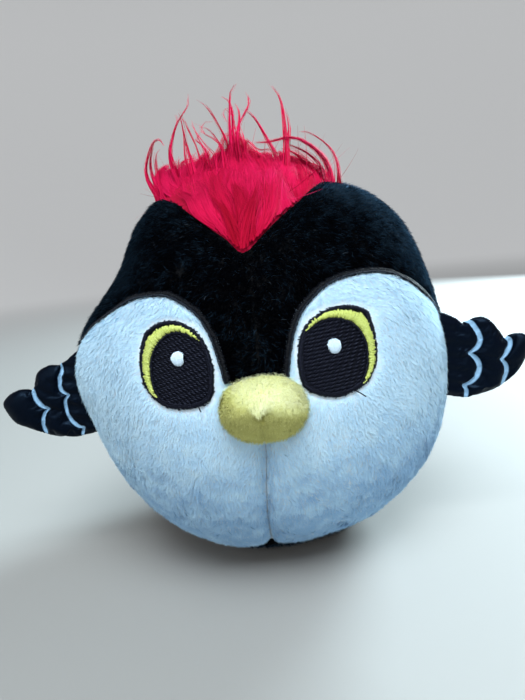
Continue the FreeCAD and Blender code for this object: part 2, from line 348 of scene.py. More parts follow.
M_WHITE_PILE = fibre_material(
    "plush_white_pile", [(0.0, (0.33, 0.55, 0.79)), (0.5, (0.55, 0.79, 0.97)), (1.0, (0.75, 0.93, 1.0))],
    [(0.0, (0.86, 0.89, 0.92)), (0.5, (1, 1, 1))], rough=0.9, sheen=0.12,
    sheen_tint=(0.85, 0.95, 1.0), spec=0.08)
# the teal colours at the top of the black tone ramp are painted sheen, given to scattered specks and the shoulder patch
M_BLACK_PILE = fibre_material(
    "plush_black_pile", [(0.0, (0.0005, 0.0005, 0.0008)), (0.6, (0.0010, 0.0012, 0.0020)), (0.92, (0.012, 0.024, 0.038)),
                         (1.0, (0.06, 0.07, 0.085))],
    [(0.0, (0.5, 0.5, 0.5)), (0.7, (1, 1, 1))], rough=0.6, sheen=0.32,
    sheen_tint=(0.26, 0.55, 0.90), sheen_rough=0.28, spec=0.0)
# the olive low end of the yellow tone ramp is painted shade and the pale high end painted light, picked by height on
# the beak
M_YELLOW_PILE = fibre_material(
    "plush_yellow_pile", [(0.0, (0.46, 0.44, 0.14)), (0.4, (0.78, 0.77, 0.28)), (0.7, (0.90, 0.91, 0.44)),
                          (1.0, (0.97, 0.98, 0.66))],
    [(0.0, (0.8, 0.78, 0.66)), (0.6, (1, 1, 1))], rough=0.9, sheen=0.12, sheen_tint=(1, 1, 0.7), spec=0.08)
M_HAIR = fibre_material(
    "pile_red_strands", [(0.0, (0.31, 0.003, 0.016)), (0.35, (0.51, 0.006, 0.042)), (0.7, (0.69, 0.011, 0.084)),
                         (1.0, (0.83, 0.022, 0.150))],
    [(0.0, (0.92, 0.8, 0.8)), (0.4, (1, 1, 1))], rough=0.62, spec=0.03)
M_HAIR.node_tree.nodes["Principled BSDF"].inputs["Specular Tint"].default_value = (1.0, 0.25, 0.5, 1)
M_WHITE_CLOTH = cloth_material("plush_white_cloth", [(0.3, (0.60, 0.69, 0.77)), (0.7, (0.74, 0.83, 0.90))], rough=0.9,
                               spec=0.1)
M_BLACK_CLOTH = cloth_material("plush_black_cloth", [(0.3, (0.0006, 0.0007, 0.001)), (0.7, (0.002, 0.0024, 0.0034))],
                               rough=0.8, spec=0.1)
M_YELLOW_CLOTH = cloth_material("plush_yellow_cloth", [(0.3, (0.74, 0.72, 0.27)), (0.7, (0.88, 0.87, 0.43))], rough=0.9,
                                spec=0.1)
M_RED_CLOTH = cloth_material("knit_red_cloth", [(0.3, (0.34, 0.002, 0.022)), (0.7, (0.46, 0.004, 0.040))], rough=0.85,
                             spec=0.1)
M_BLACK_THREAD = cloth_material("thread_black_satin", [(0.3, (0.0010, 0.0011, 0.0026)), (0.7, (0.0032, 0.0036, 0.0070))],
                                scale=2500.0, strength=0.25, distance=0.0001, rough=0.33, spec=0.20)
M_BLACK_THREAD.node_tree.nodes["Principled BSDF"].inputs["Specular Tint"].default_value = (0.62, 0.66, 1.0, 1)
M_TRIM_THREAD = cloth_material("satin_black_trim", [(0.3, (0.0015, 0.0018, 0.003)), (0.7, (0.004, 0.005, 0.008))],
                               scale=2200.0, strength=0.25, distance=0.0001, rough=0.45, spec=0.10)
# the ridge thread is coloured lighter and bluer than the trim: painted sheen
M_TRIM_RIDGE_SHEEN = cloth_material("satin_black_trim_ridge_sheen", [(0.3, (0.003, 0.005, 0.010)), (0.7, (0.010, 0.017, 0.030))],
                              scale=2200.0, strength=0.25, distance=0.0001, rough=0.40, spec=0.22)
M_YELLOW_THREAD = cloth_material("thread_yellow_satin", [(0.3, (0.46, 0.52, 0.07)), (0.7, (0.70, 0.77, 0.24))],
                                 scale=2200.0, strength=0.3, distance=0.0001, rough=0.42, spec=0.4)
M_WHITE_THREAD = cloth_material("thread_white_satin", [(0.3, (0.50, 0.64, 0.76)), (0.7, (0.70, 0.82, 0.92))],
                                scale=2200.0, strength=0.3, distance=0.0001, rough=0.42, spec=0.4)


# ------------------------------------------------------------------ ball surface
# Lumps of the stuffed ball: radius seen at (longitude, latitude).
RING = [(-68, 60, 86.3), (-74, 45, 76.3), (-74, 33, 65.6), (-72, 21, 80.5), (-71, 12, 85.1),
        (-65, -15, 78.4), (-53, -37, 80.3), (-31, -53, 81.8), (-11, -58, 82.6), (16, -58, 79.7),
        (45, -46, 81.4), (58, -33, 82.6), (68, -13, 79.7), (73, 4, 78.7), (75, 22, 77.3),
        (75, 38, 83.4), (73, 52, 88.7), (70, 63, 79.7)]
LUMPS = [(-25, 14, 80.6), (25, 14, 80.6), (0, -28, 80.4), (180, 10, 80.2), (140, -20, 80.6), (-140, -20, 80.6)]
for lon, lat, r in RING:
    LUMPS.append((lon, lat, r))
    if abs(lon) > 40:
        LUMPS.append((lon + math.copysign(20, lon), lat, r))

LOBE_L = [(-70.9, 14.8), (-61.5, 19.6), (-52.5, 23.8), (-44.4, 26.5), (-36.8, 28.8), (-29.2, 29.3), (-23.4, 28.9),
          (-18.3, 26.9), (-13.7, 23.8), (-11.1, 20.4), (-9.3, 16.7), (-8.1, 12.5), (-7.3, 8.7), (-7.0, 6.9)]
LOBE_R = [(5.0, 7.3), (5.9, 11.6), (7.6, 17.1), (9.9, 21.3), (13.3, 24.4), (17.8, 27.3), (23.2, 29.0), (29.0, 29.7),
          (36.1, 29.5), (43.0, 28.2), (48.8, 25.9), (56.5, 22.3), (65.7, 17.4), (73.4, 11.2)]
LOBE_LINE = spline(LOBE_L + [(-5.6, 3.6), (-1.0, 2.0), (3.6, 3.8)] + LOBE_R, k=4)
WHITE_POLY = np.vstack([[(-84, -64), (-84, 7)], LOBE_LINE, [(84, 4), (84, -64)]])
WHITE_FLAT = flat_map(dirs(WHITE_POLY[:, 0], WHITE_POLY[:, 1]))

CREST_EDGE = [(-36.6, -13.0), (-31.8, -22.9), (-26.4, -32.9), (-20.9, -42.9), (-14.1, -51.9), (-7.3, -58.5),
              (-2.1, -62.9), (4.8, -58.4), (11.4, -51.8), (19.1, -42.8), (24.0, -34.0), (28.2, -25.7), (35.8, -13.0),
              (35.5, 0.0), (26.5, 11.0), (12.0, 17.0), (-12.0, 17.0), (-26.5, 11.0), (-36.0, 0.0)]
CREST_POLY = spline(CREST_EDGE, closed=True, k=3)

FRONT_SEAM = np.array([(0, 10, 0), (-0.7, -10.4, 0), (-0.9, -16.4, 0), (-1.5, -24.0, 0), (-2.3, -30.2, 0),
                       (-2.8, -37.2, 0), (-3.3, -45.5, 0), (-3.4, -54.2, 0), (-3.9, -68.3, 0), (-3.9, -80, 0)], float)

EYE_L = [(-21.1, 21.7), (-23.4, 21.7), (-25.8, 21.1), (-27.7, 20.1), (-29.0, 19.1), (-29.8, 17.2), (-30.3, 14.9),
         (-30.3, 12.5), (-30.2, 10.0), (-29.7, 7.9), (-28.9, 6.1), (-26.8, 3.6), (-23.9, 1.7), (-21.5, 1.2),
         (-19.0, 1.0), (-16.7, 1.1), (-14.7, 1.6), (-12.9, 2.4), (-11.7, 3.3), (-11.1, 5.2), (-10.9, 6.9),
         (-10.7, 9.1), (-10.9, 11.1), (-11.3, 13.1), (-12.0, 15.1), (-13.0, 16.9), (-14.4, 18.6), (-15.9, 19.8),
         (-17.8, 20.8), (-19.4, 21.4)]
PUPIL_L = [(-12.9, 15.3), (-14.1, 16.5), (-15.6, 17.6), (-17.4, 18.5), (-19.6, 18.9), (-21.8, 18.6), (-23.7, 17.6),
           (-25.5, 15.8), (-26.6, 13.7), (-27.1, 11.4), (-27.0, 8.7), (-26.5, 6.2), (-25.4, 4.1), (-23.8, 2.7),
           (-21.4, 2.0), (-18.9, 1.8), (-16.6, 1.9), (-14.6, 2.3), (-12.6, 3.6), (-11.8, 5.2), (-11.6, 6.9),
           (-11.5, 9.2), (-11.7, 11.4), (-12.1, 13.6)]
CRES_L = [(-12.9, 15.3), (-13.6, 16.5), (-15.1, 18.2), (-16.9, 19.6), (-18.8, 20.5), (-21.1, 20.7), (-23.3, 20.5),
          (-25.6, 19.7), (-27.4, 18.6), (-28.5, 17.0), (-29.1, 14.9), (-29.4, 12.6), (-29.3, 10.0), (-28.9, 7.9),
          (-28.0, 5.9), (-26.3, 4.1), (-23.8, 2.7)]
EYE_R = [(22.2, 21.2), (19.7, 21.2), (17.2, 20.7), (14.9, 19.9), (12.8, 18.7), (11.3, 17.3), (10.3, 15.7),
         (9.5, 13.6), (9.0, 11.1), (8.8, 8.8), (8.9, 6.5), (9.3, 4.4), (10.3, 3.2), (12.9, 1.6), (14.7, 1.0),
         (16.6, 0.6), (18.5, 0.6), (20.3, 1.0), (22.4, 1.4), (24.0, 2.1), (25.8, 3.2), (27.1, 4.7), (28.3, 6.5),
         (28.9, 8.3), (29.3, 10.6), (29.4, 12.9), (29.4, 15.0), (29.1, 16.7), (29.1, 18.1), (28.7, 19.0),
         (27.6, 19.8), (25.9, 20.5), (24.0, 21.0)]
PUPIL_R = [(10.9, 15.2), (12.1, 16.6), (13.8, 17.6), (15.9, 18.3), (18.2, 18.6), (20.2, 18.3), (22.2, 17.6),
           (24.0, 16.4), (25.5, 14.6), (26.3, 12.2), (26.4, 9.7), (26.0, 7.2), (25.1, 4.9), (23.9, 3.3), (22.8, 2.3),
           (20.4, 1.6), (18.6, 1.4), (16.6, 1.4), (14.8, 1.7), (13.0, 2.4), (10.9, 3.7), (9.9, 4.9), (9.6, 7.0),
           (9.5, 9.0), (9.7, 11.1), (10.1, 13.3)]
CRES_R = [(10.9, 15.2), (11.7, 16.8), (13.2, 18.3), (14.9, 19.4), (16.8, 20.0), (19.0, 20.4), (21.1, 20.3),
          (23.4, 19.9), (25.5, 19.2), (27.2, 18.3), (28.1, 16.4), (28.5, 14.0), (28.7, 11.4), (28.4, 8.9), (27.6, 6.5),
          (26.3, 4.4), (24.6, 3.0), (22.8, 2.3)]
GLINT = {"left": (-19.3, 12.8), "right": (17.8, 12.3)}


def flat_poly(points, closed=True, k=4):
    p = spline(points, closed=closed, k=k)
    return flat_map(dirs(p[:, 0], p[:, 1]))


EYE_FLAT = {"left": flat_poly(EYE_L, k=2), "right": flat_poly(EYE_R, k=2)}


class Fields:
    """Where directions n lie: mm inside (+) or outside (-) each seam line."""

    def __init__(self, n):
        P = n * R0
        self.n = n
        self.side = (-24.4 + 0.119 * (P[:, 2] - 2) - P[:, 1]) * 0.993
        flat = np.sqrt(np.maximum(1 - n[:, 2] ** 2, 0.02))
        self.base = (P[:, 2] + 66.3) / flat
        q = flat_map(n)
        self.white = np.where(P[:, 1] < 0, 1.0, -1.0) * 60.0
        near = (P[:, 1] < 8) & (n[:, 2] < 0.75)
        self.white[:] = -60.0
        self.white[near] = signed(q[near], WHITE_FLAT)
        self.crest = np.full(len(n), -60.0)
        top = n[:, 2] > 0.35
        self.crest[top] = signed(P[top][:, :2], CREST_POLY)
        self.mid = P[:, 0] - np.interp(-P[:, 2], -FRONT_SEAM[:, 1], FRONT_SEAM[:, 0])
        self.x = P[:, 0]
        self.eye = np.full(len(n), -60.0)
        for side, sign in (("left", -1), ("right", 1)):
            c = dirs(20.0 * sign, 11.0)
            near = n @ c > 0.93
            if near.any():
                self.eye[near] = np.maximum(self.eye[near], signed(q[near], EYE_FLAT[side]))


def skin(n, fields=None):
    """Radius of the cloth under the pile, mm."""
    f = fields or Fields(n)
    P = n * R0
    rise = np.zeros(len(n))
    total = np.full(len(n), 0.25)
    for lon, lat, r in LUMPS:
        w = np.exp(-((1 - n @ dirs(lon, lat)) * 2 / 0.075))
        rise += w * (r - 80.0)
        total += w
    r = 78.7 + rise / total
    front, white = f.side > 0, f.white > 0
    up = ease(f.base, -1, 2)

    def dip(d, deep, wide):
        return deep * np.exp(-(np.abs(d) / wide) ** 1.4)

    r -= dip(f.side, 1.5, 2.8) * up + dip(f.side, 0.5, 10.0) * up
    r -= dip(f.base, 1.9, 3.2)
    r -= np.where(front & white, dip(f.mid, 2.9, 1.7) + dip(f.mid, 0.9, 8.0), 0) * up
    r -= np.where(front, dip(f.white - 0.4, 0.9, 1.6) + dip(f.white, 0.8, 7.0), 0) * ease(f.side, 0, 4)
    r -= np.where(front & ~white, dip(f.x, 0.5, 6.0), 0)
    r -= dip(f.crest, 1.0, 3.0)
    r -= np.where(~front & (f.crest < 0), dip(f.x, 2.0, 2.6) + dip(f.x, 0.7, 9.0), 0) * up
    r -= np.where(f.eye < 0, dip(f.eye, 0.7, 2.2), 0.45 * ease(f.eye, -1, 1) + 0.25)
    r += 0.45 * noise3(P, 26, 3) + 0.22 * noise3(P, 11, 5) + 0.07 * noise3(P, 4.5, 8)
    return r


def settle(P):
    """The ball rests on a flat patch."""
    z = P[:, 2]
    s = 1.6
    low = -CZ + 1.2
    z2 = np.where(z < -60, low + s * np.log1p(np.exp(np.clip((z - low) / s, -30, 30))), z)
    Q = P.copy()
    Q[:, 2] = z2
    spread = 1 + 0.02 * ease(-z, 60, 76)
    Q[:, :2] *= spread[:, None]
    return Q


def on_skin(P, lift):
    """Moves points to a height above the cloth."""
    n = norm(P)
    return n * (skin(n) + lift)[:, None]


bm = bmesh.new()
bmesh.ops.create_icosphere(bm, subdivisions=8, radius=1.0)
ICO_V = norm(np.array([v.co[:] for v in bm.verts]))
ICO_F = np.array([[v.index for v in f.verts] for f in bm.faces])
bm.free()


def region(*tests):
    """The part of the unit ball inside all the tests, each a function of Fields."""
    V, F = ICO_V, ICO_F
    for test in tests:
        d = test(Fields(V))
        V, F = clip(V, F, d)
    return V, F


IN_FRONT, BEHIND = (lambda f: f.side), (lambda f: -f.side)
ABOVE, BELOW = (lambda f: f.base), (lambda f: -f.base)
IN_WHITE, IN_DARK = (lambda f: f.white), (lambda f: -f.white)
IN_CREST, OFF_CREST = (lambda f: f.crest), (lambda f: -f.crest)


def panel(name, tests, mat, slot, nodes):
    """One sewn panel of the ball's cover."""
    n, F = region(*tests)
    r = skin(n)
    V = settle(n * r[:, None])
    closed_V, closed_F = thicken(V, F, 1.8)
    ob = build(name, closed_V, closed_F, mat, slot)
    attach(ob, "ball")
    if nodes:
        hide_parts(*nodes)
    return V, F


# ------------------------------------------------------------------ pile
def sample(V, F, count, rng):
    a, b, c = V[F[:, 0]], V[F[:, 1]], V[F[:, 2]]
    area = np.linalg.norm(np.cross(b - a, c - a), axis=1)
    pick = rng.choice(len(F), count, p=area / area.sum())
    u, v = rng.random(count), rng.random(count)
    over = u + v > 1
    u[over], v[over] = 1 - u[over], 1 - v[over]
    w = np.stack([1 - u - v, u, v], 1)
    N = vertex_normals(V, F)
    T = F[pick]
    return (V[T] * w[..., None]).sum(1), norm((N[T] * w[..., None]).sum(1))


def tangent(v, N):
    return norm(v - (v * N).sum(1, keepdims=True) * N)


def pile(name, P, N, way, length, width, lean, tone, mat, slot, rng, curl=0.35, inside=None):
    """Short fibres as tapered blades. way is the nap, a direction along the cloth at each root."""
    k = len(P)
    way = tangent(way, N)
    across = np.cross(N, way)
    turn = rng.normal(0, curl, k)
    way = way * np.cos(turn)[:, None] + across * np.sin(turn)[:, None]
    a = np.clip(lean + rng.normal(0, 9, k) * DEG, 6 * DEG, 85 * DEG)
    L = length * (0.75 + 0.5 * rng.random(k))
    d0 = norm(N * np.sin(a)[:, None] + way * np.cos(a)[:, None])
    bend = a * 0.45
    turn2 = rng.normal(0, 0.3, k)
    way2 = norm(way + np.cross(N, way) * turn2[:, None])
    d1 = norm(N * np.sin(bend)[:, None] + way2 * np.cos(bend)[:, None])
    root = P - N * 0.15
    mid = root + d0 * (L * 0.5)[:, None]
    tip = mid + d1 * (L * 0.5)[:, None]
    side = norm(np.cross(d0, N + rng.normal(0, 0.35, (k, 3))))
    side = np.where((np.cross(side, d0) * N).sum(1, keepdims=True) < 0, -side, side)
    w = width * (0.7 + 0.6 * rng.random(k))[:, None] / 2
    V = np.stack([root - side * w, root + side * w, mid - side * w * 0.85, mid + side * w * 0.85, tip], 1)
    tone = np.broadcast_to(tone, (k,))
    if inside is not None:
        ok = inside(tip)
        V, side, d0, N, tone, k = V[ok], side[ok], d0[ok], N[ok], tone[ok], int(ok.sum())
    base = np.arange(k)[:, None] * 5
    quads = base + np.array([[0, 1, 3, 2]])
    tris = base + np.array([[2, 3, 4]])
    u = np.clip(tone, 0.01, 0.985)
    uv = np.zeros((k, 5, 2))
    uv[..., 0] = u[:, None] + np.array([0, 0.004, 0, 0.004, 0.002])
    uv[..., 1] = np.array([0.03, 0.03, 0.5, 0.5, 0.97])
    soft = norm(N * 0.75 + np.cross(side, d0) * 0.25)
    ob = build(name, V.reshape(-1, 3), [quads, tris], mat, slot, uv=uv.reshape(-1, 2),
               normals=np.repeat(soft, 5, axis=0))
    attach(ob, "ball")
    return ob


DOWNWARD = np.array([0.0, 0.0, -1.0])
THIN = 1.0


def white_pile(side, V, F, seed):
    rng = np.random.default_rng(seed)
    P, N = sample(V, F, int(66600 * THIN), rng)
    f = Fields(norm(P))
    beak = ((P[:, 0] + 0.2) / 12.6) ** 2 + ((P[:, 2] - 0.0) / 9.6) ** 2
    keep = (f.eye < -0.15) & (beak > 1) & (np.abs(f.mid) > 0.35) & (f.white > 0.15)
    P, N, f = P[keep], N[keep], Fields(norm(P[keep]))
    sign = -1 if side == "left" else 1
    k = len(P)
    way = np.tile(DOWNWARD, (k, 1)) + np.array([0.25 * sign, 0, 0])
    way = way + 0.55 * np.stack([noise3(P, 9, 21), noise3(P, 9, 22), noise3(P, 9, 23)], 1)
    low = ease(-P[:, 2], -10, 45)
    way = way + (0.75 * low)[:, None] * np.stack([noise3(P, 4, 24), noise3(P, 4, 25), noise3(P, 4, 26)], 1)
    away = norm(P - dirs(20.0 * sign, 11.0) * R0)
    near = np.exp(-np.maximum(-f.eye, 0) / 2.6)[:, None]
    way = way * (1 - near) + away * near * 1.4
    lobe = norm(P - np.array([41.5 * sign, -66.0, 9.0]))
    edge = (np.exp(-np.maximum(f.white, 0) / 1.3) * (rng.random(k) < 0.97))[:, None]
    way = way * (1 - edge) + lobe * edge
    seam = np.exp(-np.abs(f.mid) / 2.0)[:, None] * (f.white > 0)[:, None]
    way = way + seam * np.array([-0.5 * np.sign(sign) * -1, 0, 0]) * 0.6
    lean = (27 + 6 * noise3(P, 7, 31) + (3 + 11 * low) * noise3(P, 3, 32)) * DEG
    lean = lean * (1 - 0.3 * near[:, 0])
    length = 2.5 + 0.35 * noise3(P, 14, 33)
    length = length * (1 - 0.30 * near[:, 0]) * (1 - 0.55 * edge[:, 0]) * (1 - 0.6 * np.exp(-np.abs(f.mid) / 1.0))
    # darker towards the bottom and, low down, towards the right: painted shade; the stronger mottling lower down is
    # painted shade between clumps of pile, and each fibre also varies at random
    tone = 0.70 - 0.62 * ease(-P[:, 2], 2, 54) - 0.22 * low * ease(P[:, 0], 5, 45) + (0.04 + 0.24 * low) * noise3(P, 4.5, 34) + (0.03 + 0.22 * low) * noise3(P, 2.1, 35) \
        + rng.normal(0, 0.035, k)
    return pile("white_pile_" + side, P, N, way, length, 0.19 / math.sqrt(THIN), lean, tone, M_WHITE_PILE, "plush_white", rng,
                inside=lambda tip: Fields(norm(tip)).white > -0.4)


# centres of the painted sheen patch on the right shoulder, mm
SHOULDER_SHEEN_SPOTS = [(35.4, -38.4, 63.2), (46.2, -35.9, 57.4), (53.8, -40.0, 47.2)]


def black_pile(name, V, F, count, seed, mask=None):
    rng = np.random.default_rng(seed)
    P, N = sample(V, F, int(count * THIN), rng)
    if mask is not None:
        keep = mask(P)
        P, N = P[keep], N[keep]
    f = Fields(norm(P))
    k = len(P)
    way = np.tile(DOWNWARD, (k, 1)) * 0.9 + np.stack([0.4 * np.sign(P[:, 0]), np.zeros(k), np.zeros(k)], 1)
    way = way + 0.9 * np.stack([noise3(P, 8, 41), noise3(P, 8, 42), noise3(P, 8, 43)], 1)
    lean = (38 + 16 * noise3(P, 6, 44) + 10 * noise3(P, 2.5, 45)) * DEG
    length = 2.7 + 0.4 * noise3(P, 12, 46)
    tone = 0.40 + 0.22 * noise3(P, 3.2, 47) + 0.18 * noise3(P, 1.3, 48) + rng.normal(0, 0.14, k)
    # a few fibres lifted into the teal tones: painted sheen specks
    tone += 0.35 * (rng.random(k) < 0.04)
    # a greyer, teal patch on one shoulder is painted sheen; the pile there also stands a little more upright
    shoulder_sheen = np.max([np.exp(-((P - np.array(c)) ** 2).sum(1) / 150.0) for c in SHOULDER_SHEEN_SPOTS], axis=0)
    tone += shoulder_sheen * (0.46 + 0.22 * noise3(P, 3.0, 49))
    lean = lean + shoulder_sheen * 12 * DEG
    # a rare fibre is set to the lightest tone as a painted glint; the rest are capped
    tone = np.where(rng.random(k) < 0.002, 0.97, np.minimum(tone, 0.92))
    return pile(name, P, N, way, length, 0.20 / math.sqrt(THIN), lean, tone, M_BLACK_PILE, "plush_black", rng, curl=0.6)


white = {}
for side, mid_test, nodes in (("left", lambda f: -f.mid, ["face_panel_left", "face_seam_thread"]),
                              ("right", lambda f: f.mid, ["face_panel_right"])):
    V, F = panel("white_face_" + side, [IN_FRONT, ABOVE, IN_WHITE, mid_test], M_WHITE_CLOTH, "plush_white", nodes)
    white_pile(side, V, F, 11 if side == "left" else 12)
    print("white", side, len(F))

V, F = panel("forehead", [IN_FRONT, ABOVE, IN_DARK, OFF_CREST], M_BLACK_CLOTH, "plush_black", ["forehead_panel"])
black_pile("forehead_pile", V, F, 52000, 13, lambda P: Fields(norm(P)).white < -0.9)
print("forehead", len(F))
for side, mid_test, nodes in (("left", lambda f: -f.x, ["back_panel_left", "back_seam_thread", "stuffing_core"]),
                              ("right", lambda f: f.x, ["back_panel_right"])):
    V, F = panel("black_back_" + side, [BEHIND, ABOVE, OFF_CREST, mid_test], M_BLACK_CLOTH, "plush_black", nodes)
    black_pile("back_pile_" + side, V, F, 64000, 14 if side == "left" else 15)
    print("back", side, len(F))
V, F = panel("black_base", [BELOW], M_BLACK_CLOTH, "plush_black", ["base_panel"])
black_pile("base_pile", V, F, 16000, 16, lambda P: P[:, 2] > -74.0)
CREST_V, CREST_F = panel("crest_cloth", [IN_CREST], M_RED_CLOTH, "knit_red", ["crest_backing"])
print("crest", len(CREST_F))


# ------------------------------------------------------------------ thread work
def stitches(A, B, NA, NB, width, rise, round_up=0.8):
    """Arched threads from points A to points B."""
    t = np.array([0, 0.14, 0.5, 0.86, 1.0])
    up = np.array([-0.5, 0.55, 1.0, 0.55, -0.5])
    k = len(A)
    width = np.broadcast_to(np.asarray(width, float), (k,))
    rise = np.broadcast_to(np.asarray(rise, float), (k,))
    N = norm(NA[:, None] * (1 - t)[None, :, None] + NB[:, None] * t[None, :, None])
    C = A[:, None] * (1 - t)[None, :, None] + B[:, None] * t[None, :, None]
    C = C + N * (rise[:, None] * up)[..., None]
    S = norm(np.cross((B - A)[:, None], N))
    w = width[:, None] / 2 * np.array([0.55, 1, 1, 1, 0.55])
    prof = [(-1.0, -0.25), (-0.6, 0.62 * round_up), (0.6, 0.62 * round_up), (1.0, -0.25)]
    V = np.stack([C + S * (w * x)[..., None] + N * (w * z)[..., None] for x, z in prof], 2)
    base = np.arange(k)[:, None] * 20
    quads = []
    for r in range(4):
        for c in range(3):
            quads.append(base + np.array([[r * 4 + c, (r + 1) * 4 + c, (r + 1) * 4 + c + 1, r * 4 + c + 1]]))
    return V.reshape(-1, 3), np.vstack(quads)


def band(line, out_w, in_w, pitch, width, rise, lift, rng, closed=False, jitter=0.1):
    """Satin stitches across a line on the ball, mm; line is (lon, lat) pairs."""
    path = dirs(line[:, 0], line[:, 1]) * R0
    path = spaced(path, step=pitch, closed=closed)
    if closed:
        t = norm(np.roll(path, -1, 0) - np.roll(path, 1, 0))
    else:
        t = norm(np.gradient(path, axis=0))
    n = norm(path)
    q = norm(np.cross(t, n))
    k = len(path)
    skew = rng.normal(0, 0.12, k)[:, None]
    A = path + q * (out_w + rng.normal(0, jitter, k))[:, None] + t * skew
    B = path - q * (in_w + rng.normal(0, jitter, k))[:, None] - t * skew
    A, B = on_skin(A, lift), on_skin(B, lift)
    return stitches(A, B, norm(A), norm(B), width * (0.9 + 0.25 * rng.random(k)), rise * (0.85 + 0.3 * rng.random(k)))


def joined(parts):
    V, F, at = [], [], 0
    for v, f in parts:
        V.append(v)
        F.append(f + at)
        at += len(v)
    return np.vstack(V), np.vstack(F)


def tube(path, radius, sides=5, taper=None):
    """A round thread along a smooth line."""
    p = spline(path, k=4)
    k = len(p)
    t = norm(np.gradient(p, axis=0))
    ref = norm(np.cross(t, norm(p) + 0.01))
    other = np.cross(t, ref)
    r = np.full(k, radius) if taper is None else radius * (1 - (1 - taper) * np.linspace(0, 1, k))
    a = np.arange(sides) / sides * 2 * np.pi
    V = p[:, None] + ref[:, None] * (np.cos(a)[None, :, None] * r[:, None, None]) \
        + other[:, None] * (np.sin(a)[None, :, None] * r[:, None, None])
    F = []
    for i in range(k - 1):
        for j in range(sides):
            F.append([i * sides + j, i * sides + (j + 1) % sides, (i + 1) * sides + (j + 1) % sides,
                      (i + 1) * sides + j])
    return V.reshape(-1, 3), np.array(F)


# satin stitched bands between white and black
for side, line, node in (("left", LOBE_L, "brow_trim_left"), ("right", LOBE_R, "brow_trim_right")):
    rng = np.random.default_rng(31 if side == "left" else 32)
    path = spline(line, k=5)
    sgn = 1.0
    V, F = band(path, 2.2, 0.30, 0.46, 0.50, 0.75, 0.55, rng, jitter=0.16)
    ob = build("brow_trim_" + side + "_satin", V, F, M_TRIM_THREAD, "satin_black")
    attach(ob, "ball")
    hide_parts(node)
    V, F = band(path, 2.15, -1.25, 0.52, 0.46, 0.40, 1.05, rng, jitter=0.10)
    ob = build("brow_trim_" + side + "_ridge", V, F, M_TRIM_RIDGE_SHEEN, "satin_black")
    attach(ob, "ball")


